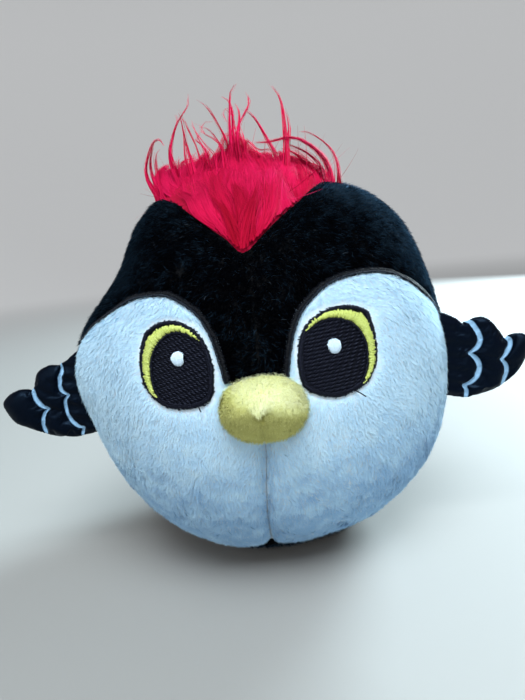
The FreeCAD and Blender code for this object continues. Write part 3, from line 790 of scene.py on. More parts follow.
def eye(side, outline, pupil, crescent):
    sign = -1 if side == "left" else 1
    rng = np.random.default_rng(51 if side == "left" else 52)
    c = dirs(20.0 * sign, 11.0)
    east = norm(np.cross(np.array([0, 0, 1.0]), c)) * -1.0
    if east[0] < 0:
        east = -east
    north = np.cross(c, east)
    if north[2] < 0:
        north = -north

    def to_plane(lonlat):
        n = dirs(lonlat[:, 0], lonlat[:, 1])
        return np.stack([n @ east, n @ north], 1) / (n @ c)[:, None] * R0

    def from_plane(q):
        return norm(c * R0 + q[:, :1] * east + q[:, 1:] * north) * R0

    E = to_plane(spline(outline, closed=True, k=4))
    U = to_plane(spline(pupil, closed=True, k=4))
    C_out = to_plane(spline(crescent, k=5))
    if E[:, 0].mean() > 1e9:
        return
    # dark ground cloth under the stitches
    n, F = ICO_V, ICO_F
    near = (ICO_V[ICO_F].mean(1) @ c) > 0.95
    n, F = tidy(ICO_V, ICO_F[near])
    q = np.stack([n @ east, n @ north], 1) / (n @ c)[:, None] * R0
    n, F = clip(n, F, signed(q, E) - 0.25)
    n = norm(n)
    V = n * (skin(n) + 0.30)[:, None]
    V, F = thicken(V, F, 0.9)
    ground = build("eye_ground_" + side, V, F, M_BLACK_THREAD, "thread_black")
    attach(ground, "ball")
    # outline: short stitches across the edge
    path = spaced(E, step=0.42, closed=True)
    t = norm(np.roll(path, -1, 0) - np.roll(path, 1, 0))
    q = np.stack([t[:, 1], -t[:, 0]], 1)
    if (signed(path + q, E) > 0).mean() > 0.5:
        q = -q
    k = len(path)
    A = from_plane(path + q * (0.10 + rng.normal(0, 0.20, k))[:, None])
    B = from_plane(path - q * (1.75 + rng.normal(0, 0.10, k))[:, None])
    A, B = on_skin(A, 0.42), on_skin(B, 0.42)
    parts = [stitches(A, B, norm(A), norm(B), 0.46 * (0.9 + 0.2 * rng.random(k)), 0.62)]
    ob = build("eye_outline_stitches_" + side, *joined(parts), M_BLACK_THREAD, "thread_black")
    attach(ob, "ball")
    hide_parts("eye_outline_" + side)
    # pupil: rows of fill stitches, offset like bricks, with a stitched edge
    theta = (24 if side == "right" else 180 - 22) * DEG
    ux, uy = math.cos(theta), math.sin(theta)
    g = to_plane(np.array([GLINT[side]]))[0]
    A, B, lifts, wid = [], [], [], []
    row = 0
    for s in np.arange(-16, 16, 0.43):
        along = np.arange(-17, 17, 0.2)
        pts = np.stack([along * ux - s * uy, along * uy + s * ux], 1)
        centre = U.mean(0)
        pts = pts + centre
        ok = signed(pts, U) > 0.25
        row += 1
        if ok.sum() < 4:
            continue
        phase = (row * 1.13) % 3.3 + rng.normal(0, 0.15)
        cell = np.floor((along + phase) / 3.3)
        for cid in np.unique(cell[ok]):
            sel = np.where(ok & (cell == cid))[0]
            if len(sel) < 4:
                continue
            A.append(pts[sel[0]])
            B.append(pts[sel[-1]])
            lifts.append(0.46 if row % 2 else 0.20)
            wid.append(0.58 if row % 2 else 0.44)
    A, B, lifts, wid = np.array(A), np.array(B), np.array(lifts), np.array(wid)
    A = A + rng.normal(0, 0.05, A.shape)
    A3, B3 = on_skin(from_plane(A), 0.36), on_skin(from_plane(B), 0.36)
    parts = [stitches(A3, B3, norm(A3), norm(B3), wid, lifts)]
    path = spaced(U, step=0.44, closed=True)
    t = norm(np.roll(path, -1, 0) - np.roll(path, 1, 0))
    q = np.stack([t[:, 1], -t[:, 0]], 1)
    if (signed(path + q, U) > 0).mean() > 0.5:
        q = -q
    k = len(path)
    A = on_skin(from_plane(path + q * (0.15 + rng.normal(0, 0.12, k))[:, None]), 0.5)
    B = on_skin(from_plane(path - q * (0.85 + rng.normal(0, 0.10, k))[:, None]), 0.5)
    parts.append(stitches(A, B, norm(A), norm(B), 0.46, 0.5))
    ob = build("eye_pupil_stitches_" + side, *joined(parts), M_BLACK_THREAD, "thread_black")
    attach(ob, "ball")
    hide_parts("eye_pupil_" + side)
    # crescent: stitches from its outer edge to the pupil
    count = int(np.linalg.norm(np.diff(C_out, axis=0), axis=1).sum() / 0.58)
    out_pts = spaced(C_out, count=count)
    i0 = np.argmin(((U - C_out[0]) ** 2).sum(1))
    i1 = np.argmin(((U - C_out[-1]) ** 2).sum(1))
    ring = np.vstack([U, U])
    way1 = ring[i0:i1 + 1] if i1 > i0 else ring[i0:i1 + len(U) + 1]
    way2 = ring[i1:i0 + 1][::-1] if i0 > i1 else ring[i1:i0 + len(U) + 1][::-1]
    inner = min((way1, way2), key=lambda w: np.abs(spaced(w, count=count) - out_pts).sum())
    in_pts = spaced(inner, count=count)
    # nearest points on the pupil's edge keep the stitches square to it
    d = ((out_pts[:, None] - in_pts[None]) ** 2).sum(2)
    near_i = d.argmin(1)
    mix_i = (0.5 * near_i + 0.5 * np.arange(count)).astype(int)
    in_pts = in_pts[np.clip(mix_i, 0, count - 1)]
    gap = np.linalg.norm(out_pts - in_pts, axis=1)
    ok = gap > 0.5
    out_pts, in_pts, gap = out_pts[ok], in_pts[ok], gap[ok]
    k = len(out_pts)
    u = (out_pts - in_pts) / gap[:, None]
    A = on_skin(from_plane(out_pts + u * rng.normal(0.0, 0.20, k)[:, None]), 0.55)
    B = on_skin(from_plane(in_pts + u * rng.normal(0.20, 0.20, k)[:, None]), 0.55)
    V, F = stitches(A, B, norm(A), norm(B), 0.54 * (0.85 + 0.3 * rng.random(k)), 0.66 * (0.8 + 0.4 * rng.random(k)),
                    round_up=1.5)
    ob = build("eye_crescent_stitches_" + side, V, F, M_YELLOW_THREAD, "thread_yellow")
    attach(ob, "ball")
    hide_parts("eye_crescent_" + side)
    # highlight: upright stitches
    xs = np.arange(-2.15, 2.16, 0.36)
    hh = 2.45 * np.sqrt(np.clip(1 - (xs / 2.35) ** 2, 0.02, 1))
    k = len(xs)
    tip = np.stack([g[0] + xs, g[1] + hh + rng.normal(0, 0.08, k)], 1)
    toe = np.stack([g[0] + xs + 0.15, g[1] - hh - rng.normal(0, 0.08, k)], 1)
    A, B = on_skin(from_plane(tip), 0.95), on_skin(from_plane(toe), 0.95)
    V, F = stitches(A, B, norm(A), norm(B), 0.46, 0.45)
    ob = build("eye_highlight_stitches_" + side, V, F, M_WHITE_THREAD, "thread_white")
    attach(ob, "ball")
    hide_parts("eye_highlight_" + side)
    return ground


eye("left", EYE_L, PUPIL_L, CRES_L)
eye("right", EYE_R, PUPIL_R, CRES_R)

# thread ends below the eyes
tails = []
for pts in ([(-14.9, 2.0), (-14.4, 1.2), (-14.1, 0.7)], [(-14.0, 2.3), (-13.4, 2.0), (-12.8, 2.3)],
            [(21.2, 1.6), (22.3, 0.9), (23.6, -0.2)]):
    p = np.array(pts)
    q = dirs(p[:, 0], p[:, 1]) * R0
    q = on_skin(q, 1.2) + norm(q) * np.array([[0.0], [0.6], [0.7]])
    tails.append(tube(q, 0.20))
ob = build("eye_thread_ends", *joined(tails), M_BLACK_THREAD, "thread_black")
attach(ob, "ball")


# ------------------------------------------------------------------ beak
def beak():
    bm = bmesh.new()
    bmesh.ops.create_icosphere(bm, subdivisions=7, radius=1.0)
    D = norm(np.array([v.co[:] for v in bm.verts]))
    F = np.array([[v.index for v in f.verts] for f in bm.faces])
    bm.free()
    ahead = -D[:, 1]
    flat = np.maximum(np.hypot(D[:, 0], D[:, 2]), 1e-6)
    cx, sz = D[:, 0] / flat, D[:, 2] / flat
    # even steps from the tip (0) to the outline (1)
    rho = np.where(ahead > 0, np.arctan2(flat, ahead) / (np.pi / 2), 1.0)
    inner = 1 - np.clip(rho, 0, 1)
    # outline: a rounded oval, a little fuller below
    oval = (np.abs(cx) ** 2.3 + np.abs(sz) ** 2.3) ** (-1 / 2.3)
    shift = ease(inner, 0.0, 1.0)
    x = 13.4 * cx * oval * rho - 1.0 * shift
    z = 10.5 * sz * oval * rho + 0.1 + 3.3 * shift
    low = ease(-sz, -0.15, 0.75)
    round_g = (1 - rho ** 2.15) ** (1 / 1.9)
    slope_g = (1 - rho ** 1.45) ** (1 / 1.25)
    g = round_g * (1 - 0.8 * low) + slope_g * 0.8 * low
    y = -76.6 - 14.2 * g
    tip = ((x + 1.2) / 2.4) ** 2 + ((z - 4.2) / 1.6) ** 2
    y -= 2.3 * np.exp(-tip) * (ahead > 0)
    notch = ((x + 0.8) / 1.6) ** 2 + ((z - 1.7) / 1.15) ** 2
    y += 3.2 * np.exp(-notch) * (ahead > 0)
    crease = np.exp(-((x + 0.8 + 0.04 * z) / 0.75) ** 2) * ease(-z, -1.0, 1.5) * ease(ahead, 0, 0.3)
    y += 0.9 * crease
    P = np.stack([x, y, z], 1)
    back = ahead <= 0
    P[back] = np.stack([13.4 * (cx * oval * flat)[back], -76.6 + 8 * (-ahead)[back], 0.1 + 10.5 * (sz * oval * flat)[back]], 1)
    away = norm(P - np.array([0, -72.0, 1.0]))
    P += away * (0.22 * noise3(P, 5.0, 61) + 0.10 * noise3(P, 2.2, 62))[:, None]
    V, F = clip(P, F, np.linalg.norm(P, axis=1) - 77.6)
    return V, F


BEAK_V, BEAK_F = beak()
V, F = thicken(BEAK_V, BEAK_F, 0.9)
ob = build("beak_cover", V, F, M_YELLOW_CLOTH, "plush_yellow")
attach(ob, "ball")
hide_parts("beak_upper_panel", "beak_lower_left", "beak_lower_right", "beak_stuffing")
rng = np.random.default_rng(71)
P, N = sample(BEAK_V, BEAK_F, int(26000 * THIN), rng)
k = len(P)
top = ease(P[:, 2], 0.5, 4.0)[:, None]
way = top * np.array([0, -1.0, -0.15]) + (1 - top) * np.array([0, 0.35, -1.0])
way = way + 0.35 * np.stack([noise3(P, 3, 72), noise3(P, 3, 73), noise3(P, 3, 74)], 1)
near_tip = np.exp(-((P - np.array([-1.2, -93.0, 4.2])) ** 2).sum(1) / 7.0)
way = way + near_tip[:, None] * np.array([0, -0.5, -0.9])
# lighter on top and at the tip, darker underneath: painted light and shade; the noise is random tone
beak_light_shade_tone = 0.13 + 0.83 * ease(P[:, 2] + 0.26 * P[:, 0], -0.5, 7.5) + 0.06 * noise3(P, 2.5, 76) + 0.2 * near_tip
pile("beak_pile", P, N, way, 1.1 + 1.5 * near_tip, 0.15 / math.sqrt(THIN), (24 + 6 * noise3(P, 3, 75)) * DEG,
     beak_light_shade_tone + rng.normal(0, 0.03, k), M_YELLOW_PILE, "plush_yellow", rng, curl=0.25)
some = rng.random(k) < 0.22
pile("beak_fuzz", P[some], N[some], way[some], 1.9, 0.11 / math.sqrt(THIN), np.full(int(some.sum()), 52 * DEG),
     beak_light_shade_tone[some] + 0.06, M_YELLOW_PILE, "plush_yellow", rng, curl=0.9)


# ------------------------------------------------------------------ wings
WING_L = [(-60.0, 14.5), (-66.0, 16.6), (-71.0, 17.0), (-74.3, 16.0), (-77.4, 13.9), (-81.5, 11.8), (-84.0, 11.5), (-86.4, 11.4), (-89.3, 10.3),
          (-91.5, 8.6), (-92.8, 5.8), (-94.1, 2.6), (-96.7, 2.8), (-99.6, 2.7), (-103.1, 1.1), (-105.7, -1.4),
          (-106.1, -3.5), (-105.6, -5.4), (-104.3, -8.4), (-102.3, -11.2), (-98.5, -13.5), (-94.3, -15.7),
          (-91.6, -17.0), (-87.7, -18.6), (-83.2, -19.4), (-77.4, -19.2), (-70.0, -18.0),
          (-60.0, -15.0)]
WING_R = [(60.0, 14.5), (66.0, 16.8), (71.0, 17.2), (73.8, 16.2), (76.5, 14.7), (79.0, 12.8), (81.4, 12.6), (83.5, 13.4), (86.3, 13.6),
          (88.6, 13.2), (90.5, 11.7), (93.2, 8.4), (94.6, 6.3), (95.7, 4.9), (97.1, 5.6), (98.7, 5.9), (100.6, 5.8),
          (102.2, 5.5), (104.2, 4.1), (104.9, 2.0), (104.1, -0.4), (102.9, -3.9), (101.3, -7.0), (99.3, -9.9),
          (96.6, -12.4), (93.6, -14.6), (90.3, -16.3), (84.3, -18.0), (78.2, -18.4), (70.0, -16.5),
          (60.0, -14.0)]
STRIPES = {
    "left": [[(-81.0, 11.9), (-80.9, 9.7), (-81.2, 8.0), (-81.9, 6.4), (-82.2, 4.6), (-82.4, 2.9), (-82.1, 1.1),
              (-81.1, -0.2), (-79.8, -1.2)],
             [(-79.8, -1.2), (-81.0, -2.8), (-81.5, -4.8), (-81.6, -7.2), (-81.2, -9.3), (-80.5, -11.5),
              (-79.2, -13.4), (-77.7, -14.6), (-75.7, -15.3)],
             [(-75.7, -15.3), (-76.7, -17.3), (-77.2, -19.6)],
             [(-93.8, 3.2), (-93.4, 1.1), (-92.8, -1.3), (-91.8, -3.2), (-90.4, -4.8), (-88.6, -6.0)],
             [(-88.6, -6.0), (-90.2, -7.5), (-91.3, -10.1), (-91.7, -12.8), (-91.5, -15.8), (-91.2, -18.0)]],
    "right": [[(80.6, 14.0), (80.9, 13.0), (82.7, 11.6), (84.2, 9.1), (85.2, 6.5), (85.3, 4.4), (84.2, 2.0),
               (81.5, -0.2)],
              [(81.5, -0.2), (83.5, -2.2), (84.6, -4.5), (84.7, -7.3), (83.4, -10.0), (81.1, -12.0), (78.7, -13.2)],
              [(78.7, -13.2), (79.7, -15.3), (79.4, -19.4)],
              [(95.4, 6.4), (95.6, 5.2), (96.8, 3.8), (96.7, 1.7), (95.2, -0.9), (93.4, -3.5)],
              [(93.4, -3.5), (94.7, -5.8), (95.1, -8.4), (94.3, -11.7), (93.6, -14.4)]]}


def wing_material():
    mat, tree, b = shader("wing_satin_printed", rough=0.38, spec=0.13, sheen=0.02, sheen_tint=(0.3, 0.6, 1.0),
                          sheen_rough=0.3)
    b.inputs["Specular Tint"].default_value = (0.35, 0.62, 1.0, 1)
    a = tree.nodes.new("ShaderNodeAttribute")
    a.attribute_name = "stripe"
    r = ramp(tree, [(0.40, (0.0006, 0.0012, 0.0042)), (0.50, (0.16, 0.28, 0.42)), (0.62, (0.30, 0.49, 0.68))])
    tree.links.new(a.outputs["Fac"], r.inputs[0])
    t = noise(tree, 500.0, 4)
    m = tree.nodes.new("ShaderNodeMix")
    m.data_type, m.blend_type = "RGBA", "MULTIPLY"
    m.inputs["Factor"].default_value = 0.35
    g = ramp(tree, [(0.3, (0.5, 0.5, 0.5)), (0.7, (1, 1, 1))])
    tree.links.new(t.outputs["Fac"], g.inputs[0])
    tree.links.new(r.outputs[0], m.inputs["A"])
    tree.links.new(g.outputs[0], m.inputs["B"])
    tree.links.new(m.outputs["Result"], b.inputs["Base Color"])
    w = noise(tree, 1800.0, 2)
    bump(tree, b, w.outputs["Fac"], 0.2, 0.0002)
    return mat


M_WING = wing_material()


def fill_out(ob, hold, cap, scale=20.0):
    """Cloth pressure puffs a sewn piece and puckers its seams; hold is how firmly each point stays."""
    me = ob.data.copy()
    n = len(me.vertices)
    rest = np.zeros(n * 3)
    me.vertices.foreach_get("co", rest)
    rest = rest.reshape(-1, 3)
    me.vertices.foreach_set("co", (rest * scale).astype(np.float32).reshape(-1))
    tmp = bpy.data.objects.new("sewn_copy", me)
    scene.collection.objects.link(tmp)
    group = tmp.vertex_groups.new(name="hold")
    for level in np.unique(np.round(hold, 1)):
        if level > 0:
            group.add(np.where(np.round(hold, 1) == level)[0].tolist(), float(level), "REPLACE")
    mod = tmp.modifiers.new("cloth", "CLOTH")
    st = mod.settings
    st.quality = 5
    st.mass = 0.3
    st.tension_stiffness = st.compression_stiffness = 12
    st.shear_stiffness = 5
    st.bending_stiffness = 0.15
    st.shrink_min = -0.05
    st.use_pressure = True
    st.uniform_pressure_force = 4.0
    st.vertex_group_mass = "hold"
    st.effector_weights.gravity = 0
    mod.point_cache.frame_start, mod.point_cache.frame_end = 1, 20
    for frame_no in range(1, 21):
        scene.frame_set(frame_no)
    deps = bpy.context.evaluated_depsgraph_get()
    moved = np.zeros(n * 3)
    tmp.evaluated_get(deps).data.vertices.foreach_get("co", moved)
    move = moved.reshape(-1, 3) / scale - rest
    move[~np.isfinite(move).all(1)] = 0
    far = np.linalg.norm(move, axis=1)
    print("filled out", ob.name, "mean %.2f mm, most %.2f mm" % (far.mean() * 1000, far.max() * 1000))
    move *= np.minimum(1, cap * 0.001 / np.maximum(far, 1e-9))[:, None]
    ob.data.vertices.foreach_set("co", (rest + move).astype(np.float32).reshape(-1))
    ob.data.update()
    bpy.data.objects.remove(tmp, do_unlink=True)
    bpy.data.meshes.remove(me)
    scene.frame_set(1)


def smoothed(ob):
    """One level of subdivision, applied."""
    mod = ob.modifiers.new("fine", "SUBSURF")
    mod.levels = mod.render_levels = 1
    deps = bpy.context.evaluated_depsgraph_get()
    me = bpy.data.meshes.new_from_object(ob.evaluated_get(deps))
    ob.modifiers.clear()
    old, ob.data = ob.data, me
    name = old.name
    bpy.data.meshes.remove(old)
    me.name = name


def wing(side, outline):
    sign = -1 if side == "left" else 1
    poly = spline(outline, closed=True, k=3)
    x0, x1 = poly[:, 0].min() - 1, poly[:, 0].max() + 1
    z0, z1 = poly[:, 1].min() - 1, poly[:, 1].max() + 1
    step = 0.62
    nx, nz = int((x1 - x0) / step) + 2, int((z1 - z0) / step) + 2
    gx, gz = np.meshgrid(x0 + np.arange(nx) * step, z0 + np.arange(nz) * step, indexing="ij")
    V = np.stack([gx.reshape(-1), np.zeros(nx * nz), gz.reshape(-1)], 1)
    i = (np.arange(nx - 1)[:, None] * nz + np.arange(nz - 1)).reshape(-1)
    F = np.vstack([np.stack([i, i + nz, i + nz + 1], 1), np.stack([i, i + nz + 1, i + 1], 1)])
    V, F = clip(V, F, signed(V[:, [0, 2]], poly) - 0.02)
    q = V[:, [0, 2]]
    d = np.maximum(signed(q, poly), 0)
    e = rim(F)
    on_rim = np.zeros(len(V), bool)
    on_rim[e.reshape(-1)] = True
    d[on_rim] = 0
    s = np.full(len(V), 99.0)
    for line in STRIPES[side]:
        # each scallop swells in its middle and narrows at its ends
        path = spline(np.array(line), k=4)
        ends = np.minimum(np.linalg.norm(q - path[0], axis=1), np.linalg.norm(q - path[-1], axis=1))
        slim = 0.72 if side == "left" and line[0][0] > -90 else 0.9
        s = np.minimum(s, along_line(q, path) / (slim * (0.62 + 0.38 * ease(ends, 0, 4.5))))
    out = np.abs(q[:, 0]) - 76.0
    fat = 2.9 * np.sqrt(1 - (1 - np.clip(d / 6.5, 0, 1)) ** 2)
    fat *= 0.8 + 0.2 * ease(out, 0, 12)
    fat -= 1.5 * np.exp(-(s / 1.7) ** 2) * ease(d, 0, 2.5)
    pleat = 0.28 * np.sin(q[:, 1] * 1.15 + 0.8 * np.sin(q[:, 0] * 0.25)) * np.exp(-np.maximum(out - 1, 0) / 7.0)
    fold = 0.35 * noise3(np.stack([q[:, 0] * 0.8, q[:, 1], 0 * q[:, 0]], 1), 4.5, 81 + sign)
    fine = 0.14 * noise3(np.stack([q[:, 0], q[:, 1], 0 * q[:, 0]], 1), 1.8, 85 + sign)
    h_front = np.maximum(fat + (pleat + fold + fine) * ease(d, 0, 2.5), 0.12 * (d > 0))
    fold_b = 0.3 * noise3(np.stack([q[:, 0], q[:, 1], 0 * q[:, 0] + 40], 1), 5.0, 87 + sign)
    h_back = np.maximum(0.9 * (fat + (0.5 * pleat + fold_b) * ease(d, 0, 2.5)), 0.12 * (d > 0))
    # the wing sweeps a little forward towards its tip
    mid = -27.4 - 1.6 * ease(out, 0, 30) + 0.5 * noise3(np.stack([q[:, 0], q[:, 1], 0 * q[:, 0]], 1), 14, 91)
    front = np.stack([q[:, 0], mid - h_front, q[:, 1]], 1)
    back = np.stack([q[:, 0], mid + h_back, q[:, 1]], 1)
    n = len(V)
    remap = np.arange(n) + n
    remap[on_rim] = np.arange(n)[on_rim]
    if np.cross(front[F[0, 1]] - front[F[0, 0]], front[F[0, 2]] - front[F[0, 0]])[1] > 0:
        F = F[:, ::-1]
    faces = np.vstack([F, remap[F][:, ::-1]])
    allV = np.vstack([front, back])
    print_front = np.clip(1.0 - s / 2.1, 0, 1)
    attr = np.concatenate([print_front, np.zeros(n)])
    used, inv = np.unique(faces.reshape(-1), return_inverse=True)
    allV, faces, attr = allV[used], inv.reshape(-1, 3), attr[used]
    ob = build("wing_%s_pillow" % side, allV, faces, M_WING, "wing_satin", attr={"stripe": attr})
    x = np.abs(allV[:, 0])
    hold = np.maximum(ease(-x, -79.0, -76.0), 0.7 * np.clip((attr - 0.35) / 0.3, 0, 1))
    fill_out(ob, hold, 1.1)
    smoothed(ob)
    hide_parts("wing_%s_front" % side, "wing_%s_filling" % side, "wing_%s_back" % side)
    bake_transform(ob)
    return ob


wing("left", WING_L)
wing("right", WING_R)


# ------------------------------------------------------------------ red tuft
WISPS = [
    [(-28.8, 86.3), (-27.9, 90.4), (-26.6, 94.4), (-24.7, 98.3), (-22.7, 101.9), (-20.3, 104.2), (-18.8, 106.6), (-18.6, 109.9), (-18.7, 112.6)],
    [(-27.8, 87.2), (-26.4, 93.3), (-24.4, 98.3), (-22.8, 101.7), (-23.8, 103.1), (-24.9, 103.8)],
    [(-20.0, 85.3), (-20.9, 89.6), (-21.3, 92.8), (-21.6, 96.4), (-21.9, 99.5), (-22.8, 101.9)],
    [(-22.3, 85.1), (-22.1, 89.8), (-21.8, 93.9), (-21.9, 98.0), (-22.3, 101.1)],
    [(-5.7, 90.1), (-6.8, 94.4), (-8.6, 98.1), (-10.3, 101.9), (-12.1, 105.1), (-14.0, 107.3), (-15.9, 108.3)],
    [(-8.1, 88.3), (-9.8, 92.6), (-12.1, 96.0), (-14.1, 97.2), (-16.3, 97.4), (-17.8, 98.6)],
    [(-7.5, 88.7), (-10.4, 91.6), (-13.5, 93.5), (-15.5, 95.3), (-14.1, 97.7), (-10.7, 98.6), (-8.6, 97.6)],
    [(-4.5, 87.9), (-4.0, 94.1), (-3.7, 99.7), (-2.9, 105.2), (-2.4, 110.1), (-0.9, 113.0), (0.7, 113.6)],
    [(-3.2, 89.9), (-2.8, 96.0), (-2.3, 101.1), (-2.6, 105.1), (-4.0, 108.8), (-6.8, 110.5)],
    [(-2.9, 87.7), (-2.3, 94.4), (-2.1, 100.0), (-4.2, 103.0), (-5.9, 104.7), (-6.5, 102.0), (-5.2, 98.8), (-4.0, 95.1)],
    [(-2.0, 88.7), (-0.8, 94.3), (0.2, 99.3), (-0.1, 103.4), (-1.3, 106.5)],
    [(-1.4, 91.7), (0.6, 97.2), (3.2, 101.0), (4.9, 104.4), (4.2, 107.9), (3.0, 110.3)],
    [(13.0, 84.5), (10.7, 89.4), (8.5, 94.3), (6.2, 98.6), (3.8, 101.7), (0.6, 104.2)],
    [(16.6, 82.6), (16.9, 88.8), (17.0, 95.0), (16.9, 100.1), (16.7, 103.6), (15.1, 108.8), (12.9, 112.6)],
    [(17.5, 83.0), (18.3, 88.6), (19.1, 93.7), (18.4, 98.9), (17.1, 102.3)],
    [(36.2, 72.6), (36.4, 76.3), (35.9, 80.0), (34.8, 83.0), (31.8, 86.7), (27.7, 90.0), (24.6, 91.6), (21.5, 91.2)],
    [(33.1, 72.9), (32.7, 77.2), (31.0, 81.1), (27.8, 84.5), (24.2, 87.3), (19.5, 89.6), (14.5, 89.0), (11.1, 88.3), (7.9, 88.3), (4.3, 88.7)],
    [(30.7, 73.7), (30.2, 77.5), (28.0, 80.9), (24.4, 83.9), (19.7, 86.4), (16.5, 87.3)],
    [(-35.2, 74.2), (-37.6, 78.7), (-37.9, 83.0), (-36.0, 88.1), (-33.4, 92.5), (-31.3, 93.9), (-29.6, 92.6), (-29.1, 90.0)],
    [(-34.0, 74.6), (-35.8, 79.6), (-36.2, 84.9), (-34.6, 90.0), (-32.5, 93.7), (-30.3, 93.2)],
    [(-32.8, 75.0), (-34.0, 80.5), (-34.1, 85.8), (-33.3, 89.4), (-31.8, 90.8)],
    [(-13.3, 86.2), (-14.6, 89.0), (-16.5, 91.2), (-17.9, 91.6), (-15.7, 93.2), (-14.4, 95.2)],
    [(1.6, 91.4), (3.6, 89.2), (5.5, 86.9), (7.0, 85.7), (10.9, 86.3), (12.9, 84.0)],
    [(-17.9, 89.3), (-19.0, 93.6), (-20.6, 97.9), (-21.8, 101.6), (-24.2, 107.9)],
    [(-15.2, 89.0), (-16.8, 93.4), (-17.9, 97.6), (-18.6, 100.7)],
    [(-11.0, 86.5), (-13.0, 88.8), (-15.3, 92.2), (-16.9, 94.9), (-18.5, 97.6)],
]
WISP_SIZE = [16, 10, 10, 8, 18, 7, 5, 24, 8, 5, 14, 14, 16, 22, 13, 18, 70, 36, 22, 20, 16, 9, 12, 5, 5, 5]

# lines that the tuft is combed along, and the height of its mass across the front
GUIDES = [
    [(-36.8, -15.0, 72.1), (-38.1, -18.5, 77.9), (-37.4, -20.3, 81.4), (-35.1, -23.2, 87.6), (-31.8, -25.1, 92.1),
     (-29.7, -24.8, 92.7)],
    [(-27.3, -27.4, 70.0), (-32.5, -15.7, 76.6), (-33.1, -18.4, 81.2), (-31.5, -20.5, 85.5), (-28.4, -22.2, 89.7),
     (-25.1, -24.6, 94.5)],
    [(-21.0, -41.5, 65.1), (-24.1, -29.2, 71.6), (-27.3, -14.9, 78.3), (-26.9, -17.1, 82.4), (-25.1, -18.5, 85.7)],
    [(-15.4, -47.9, 62.2), (-18.8, -39.3, 68.1), (-21.5, -23.7, 75.1), (-22.2, -15.3, 81.6), (-21.6, -18.4, 87.0),
     (-21.6, -23.2, 93.9)],
    [(-8.9, -55.0, 57.4), (-13.2, -49.7, 62.3), (-17.0, -40.5, 68.8), (-19.3, -24.2, 76.4), (-18.6, -15.2, 82.9),
     (-15.1, -18.4, 89.2)],
    [(-6.1, -57.6, 55.2), (-8.7, -50.8, 62.3), (-11.6, -45.4, 66.8), (-12.4, -35.7, 73.2), (-13.2, -13.4, 81.5),
     (-9.8, -16.9, 88.1)],
    [(-3.5, -60.6, 52.1), (-4.3, -51.6, 61.8), (-7.2, -43.0, 68.5), (-9.7, -32.5, 74.4), (-11.4, -13.7, 82.3),
     (-7.1, -16.2, 87.4), (-4.0, -19.5, 92.8), (-2.8, -22.7, 97.2)],
    [(-2.0, -62.3, 50.1), (-1.1, -55.6, 58.4), (-1.7, -48.2, 65.5), (-3.5, -38.1, 72.5), (-4.6, -12.6, 81.8),
     (-3.6, -16.3, 88.1), (-2.1, -20.6, 94.5)],
    [(-0.8, -62.1, 50.4), (1.2, -55.9, 58.1), (2.8, -47.3, 66.1), (3.3, -34.6, 74.3), (1.3, -13.2, 83.3), (-1.4,
     -16.1, 87.9), (-2.6, -20.6, 94.5)],
    [(2.1, -60.4, 52.4), (4.9, -56.1, 57.7), (6.5, -49.0, 64.6), (6.7, -38.9, 71.9), (5.2, -18.1, 80.5), (2.3,
     -14.9, 86.1), (-0.5, -17.6, 90.2)],
    [(7.1, -57.0, 55.6), (9.1, -51.9, 61.3), (10.8, -44.7, 67.4), (11.0, -36.1, 73.3), (9.7, -19.1, 80.4), (6.8,
     -14.9, 86.0)],
    [(11.2, -53.8, 58.2), (11.9, -47.7, 64.1), (13.1, -37.2, 71.4), (14.7, -12.8, 81.4), (16.0, -16.3, 87.1),
     (17.1, -22.1, 95.2)],
    [(15.6, -47.7, 62.3), (15.0, -40.8, 68.3), (14.7, -34.0, 73.2), (14.3, -24.0, 78.1), (13.4, -14.1, 83.9)],
    [(20.9, -40.4, 65.8), (20.8, -32.6, 71.2), (19.6, -23.3, 76.1), (17.8, -13.0, 81.0), (16.3, -14.9, 84.6)],
    [(26.7, -29.5, 69.4), (28.3, -12.2, 75.6), (26.2, -13.4, 79.0), (22.4, -14.3, 82.0), (18.6, -15.4, 85.0)],
    [(33.8, -12.6, 73.4), (32.3, -14.8, 78.7), (28.6, -16.6, 83.7), (23.8, -18.0, 87.6), (19.4, -18.1, 89.1),
     (13.9, -17.2, 88.8)],
]
TOP_LINE = np.array([(-37.7, 77.3), (-35.4, 82.1), (-32.1, 85.0), (-27.4, 84.8), (-23.4, 84.2), (-19.5, 86.4),
                     (-15.0, 87.8), (-7.1, 87.9), (-4.6, 91.4), (-1.5, 94.0), (0.9, 91.9), (6.5, 86.4), (12.9,
                     82.9), (18.6, 84.0), (25.0, 80.1), (31.6, 79.2), (34.6, 73.8)])


def ribbons(paths, width, tone, bulge, seed):
    """Flat tapered strands; paths is (strands, points, 3)."""
    k, m, _ = paths.shape
    rng = np.random.default_rng(seed)
    d = norm(np.gradient(paths, axis=1))
    out = norm(paths)
    side = norm(np.cross(d, out + rng.normal(0, 0.22, (k, 1, 3))))
    s = np.linspace(0, 1, m)
    w = (width[:, None] / 2) * (1 - 0.78 * s ** 1.6)
    crown = np.cross(side, d) * (w * 0.45)[..., None]
    V = np.stack([paths - side * w[..., None], paths + crown, paths + side * w[..., None]], 2)
    base = (np.arange(k)[:, None] * m + np.arange(m - 1)[None]).reshape(-1, 1) * 3
    quads = np.vstack([base + np.array([[0, 1, 4, 3]]), base + np.array([[1, 2, 5, 4]])])
    uv = np.zeros((k, m, 3, 2))
    uv[..., 0] = np.clip(tone, 0.01, 0.985)[:, None, None] + np.array([0, 0.002, 0.004])
    uv[..., 1] = (0.03 + 0.94 * s)[None, :, None]
    face = norm(np.cross(side, d))
    soft = norm(0.6 * face + (1.2 * out + 0.75 * bulge[:, None]) * np.clip((face * out).sum(-1, keepdims=True), 0, 1))
    N = np.stack([norm(soft - 0.25 * side), soft, norm(soft + 0.25 * side)], 2)
    return V.reshape(-1, 3), quads, uv.reshape(-1, 2), N.reshape(-1, 3)


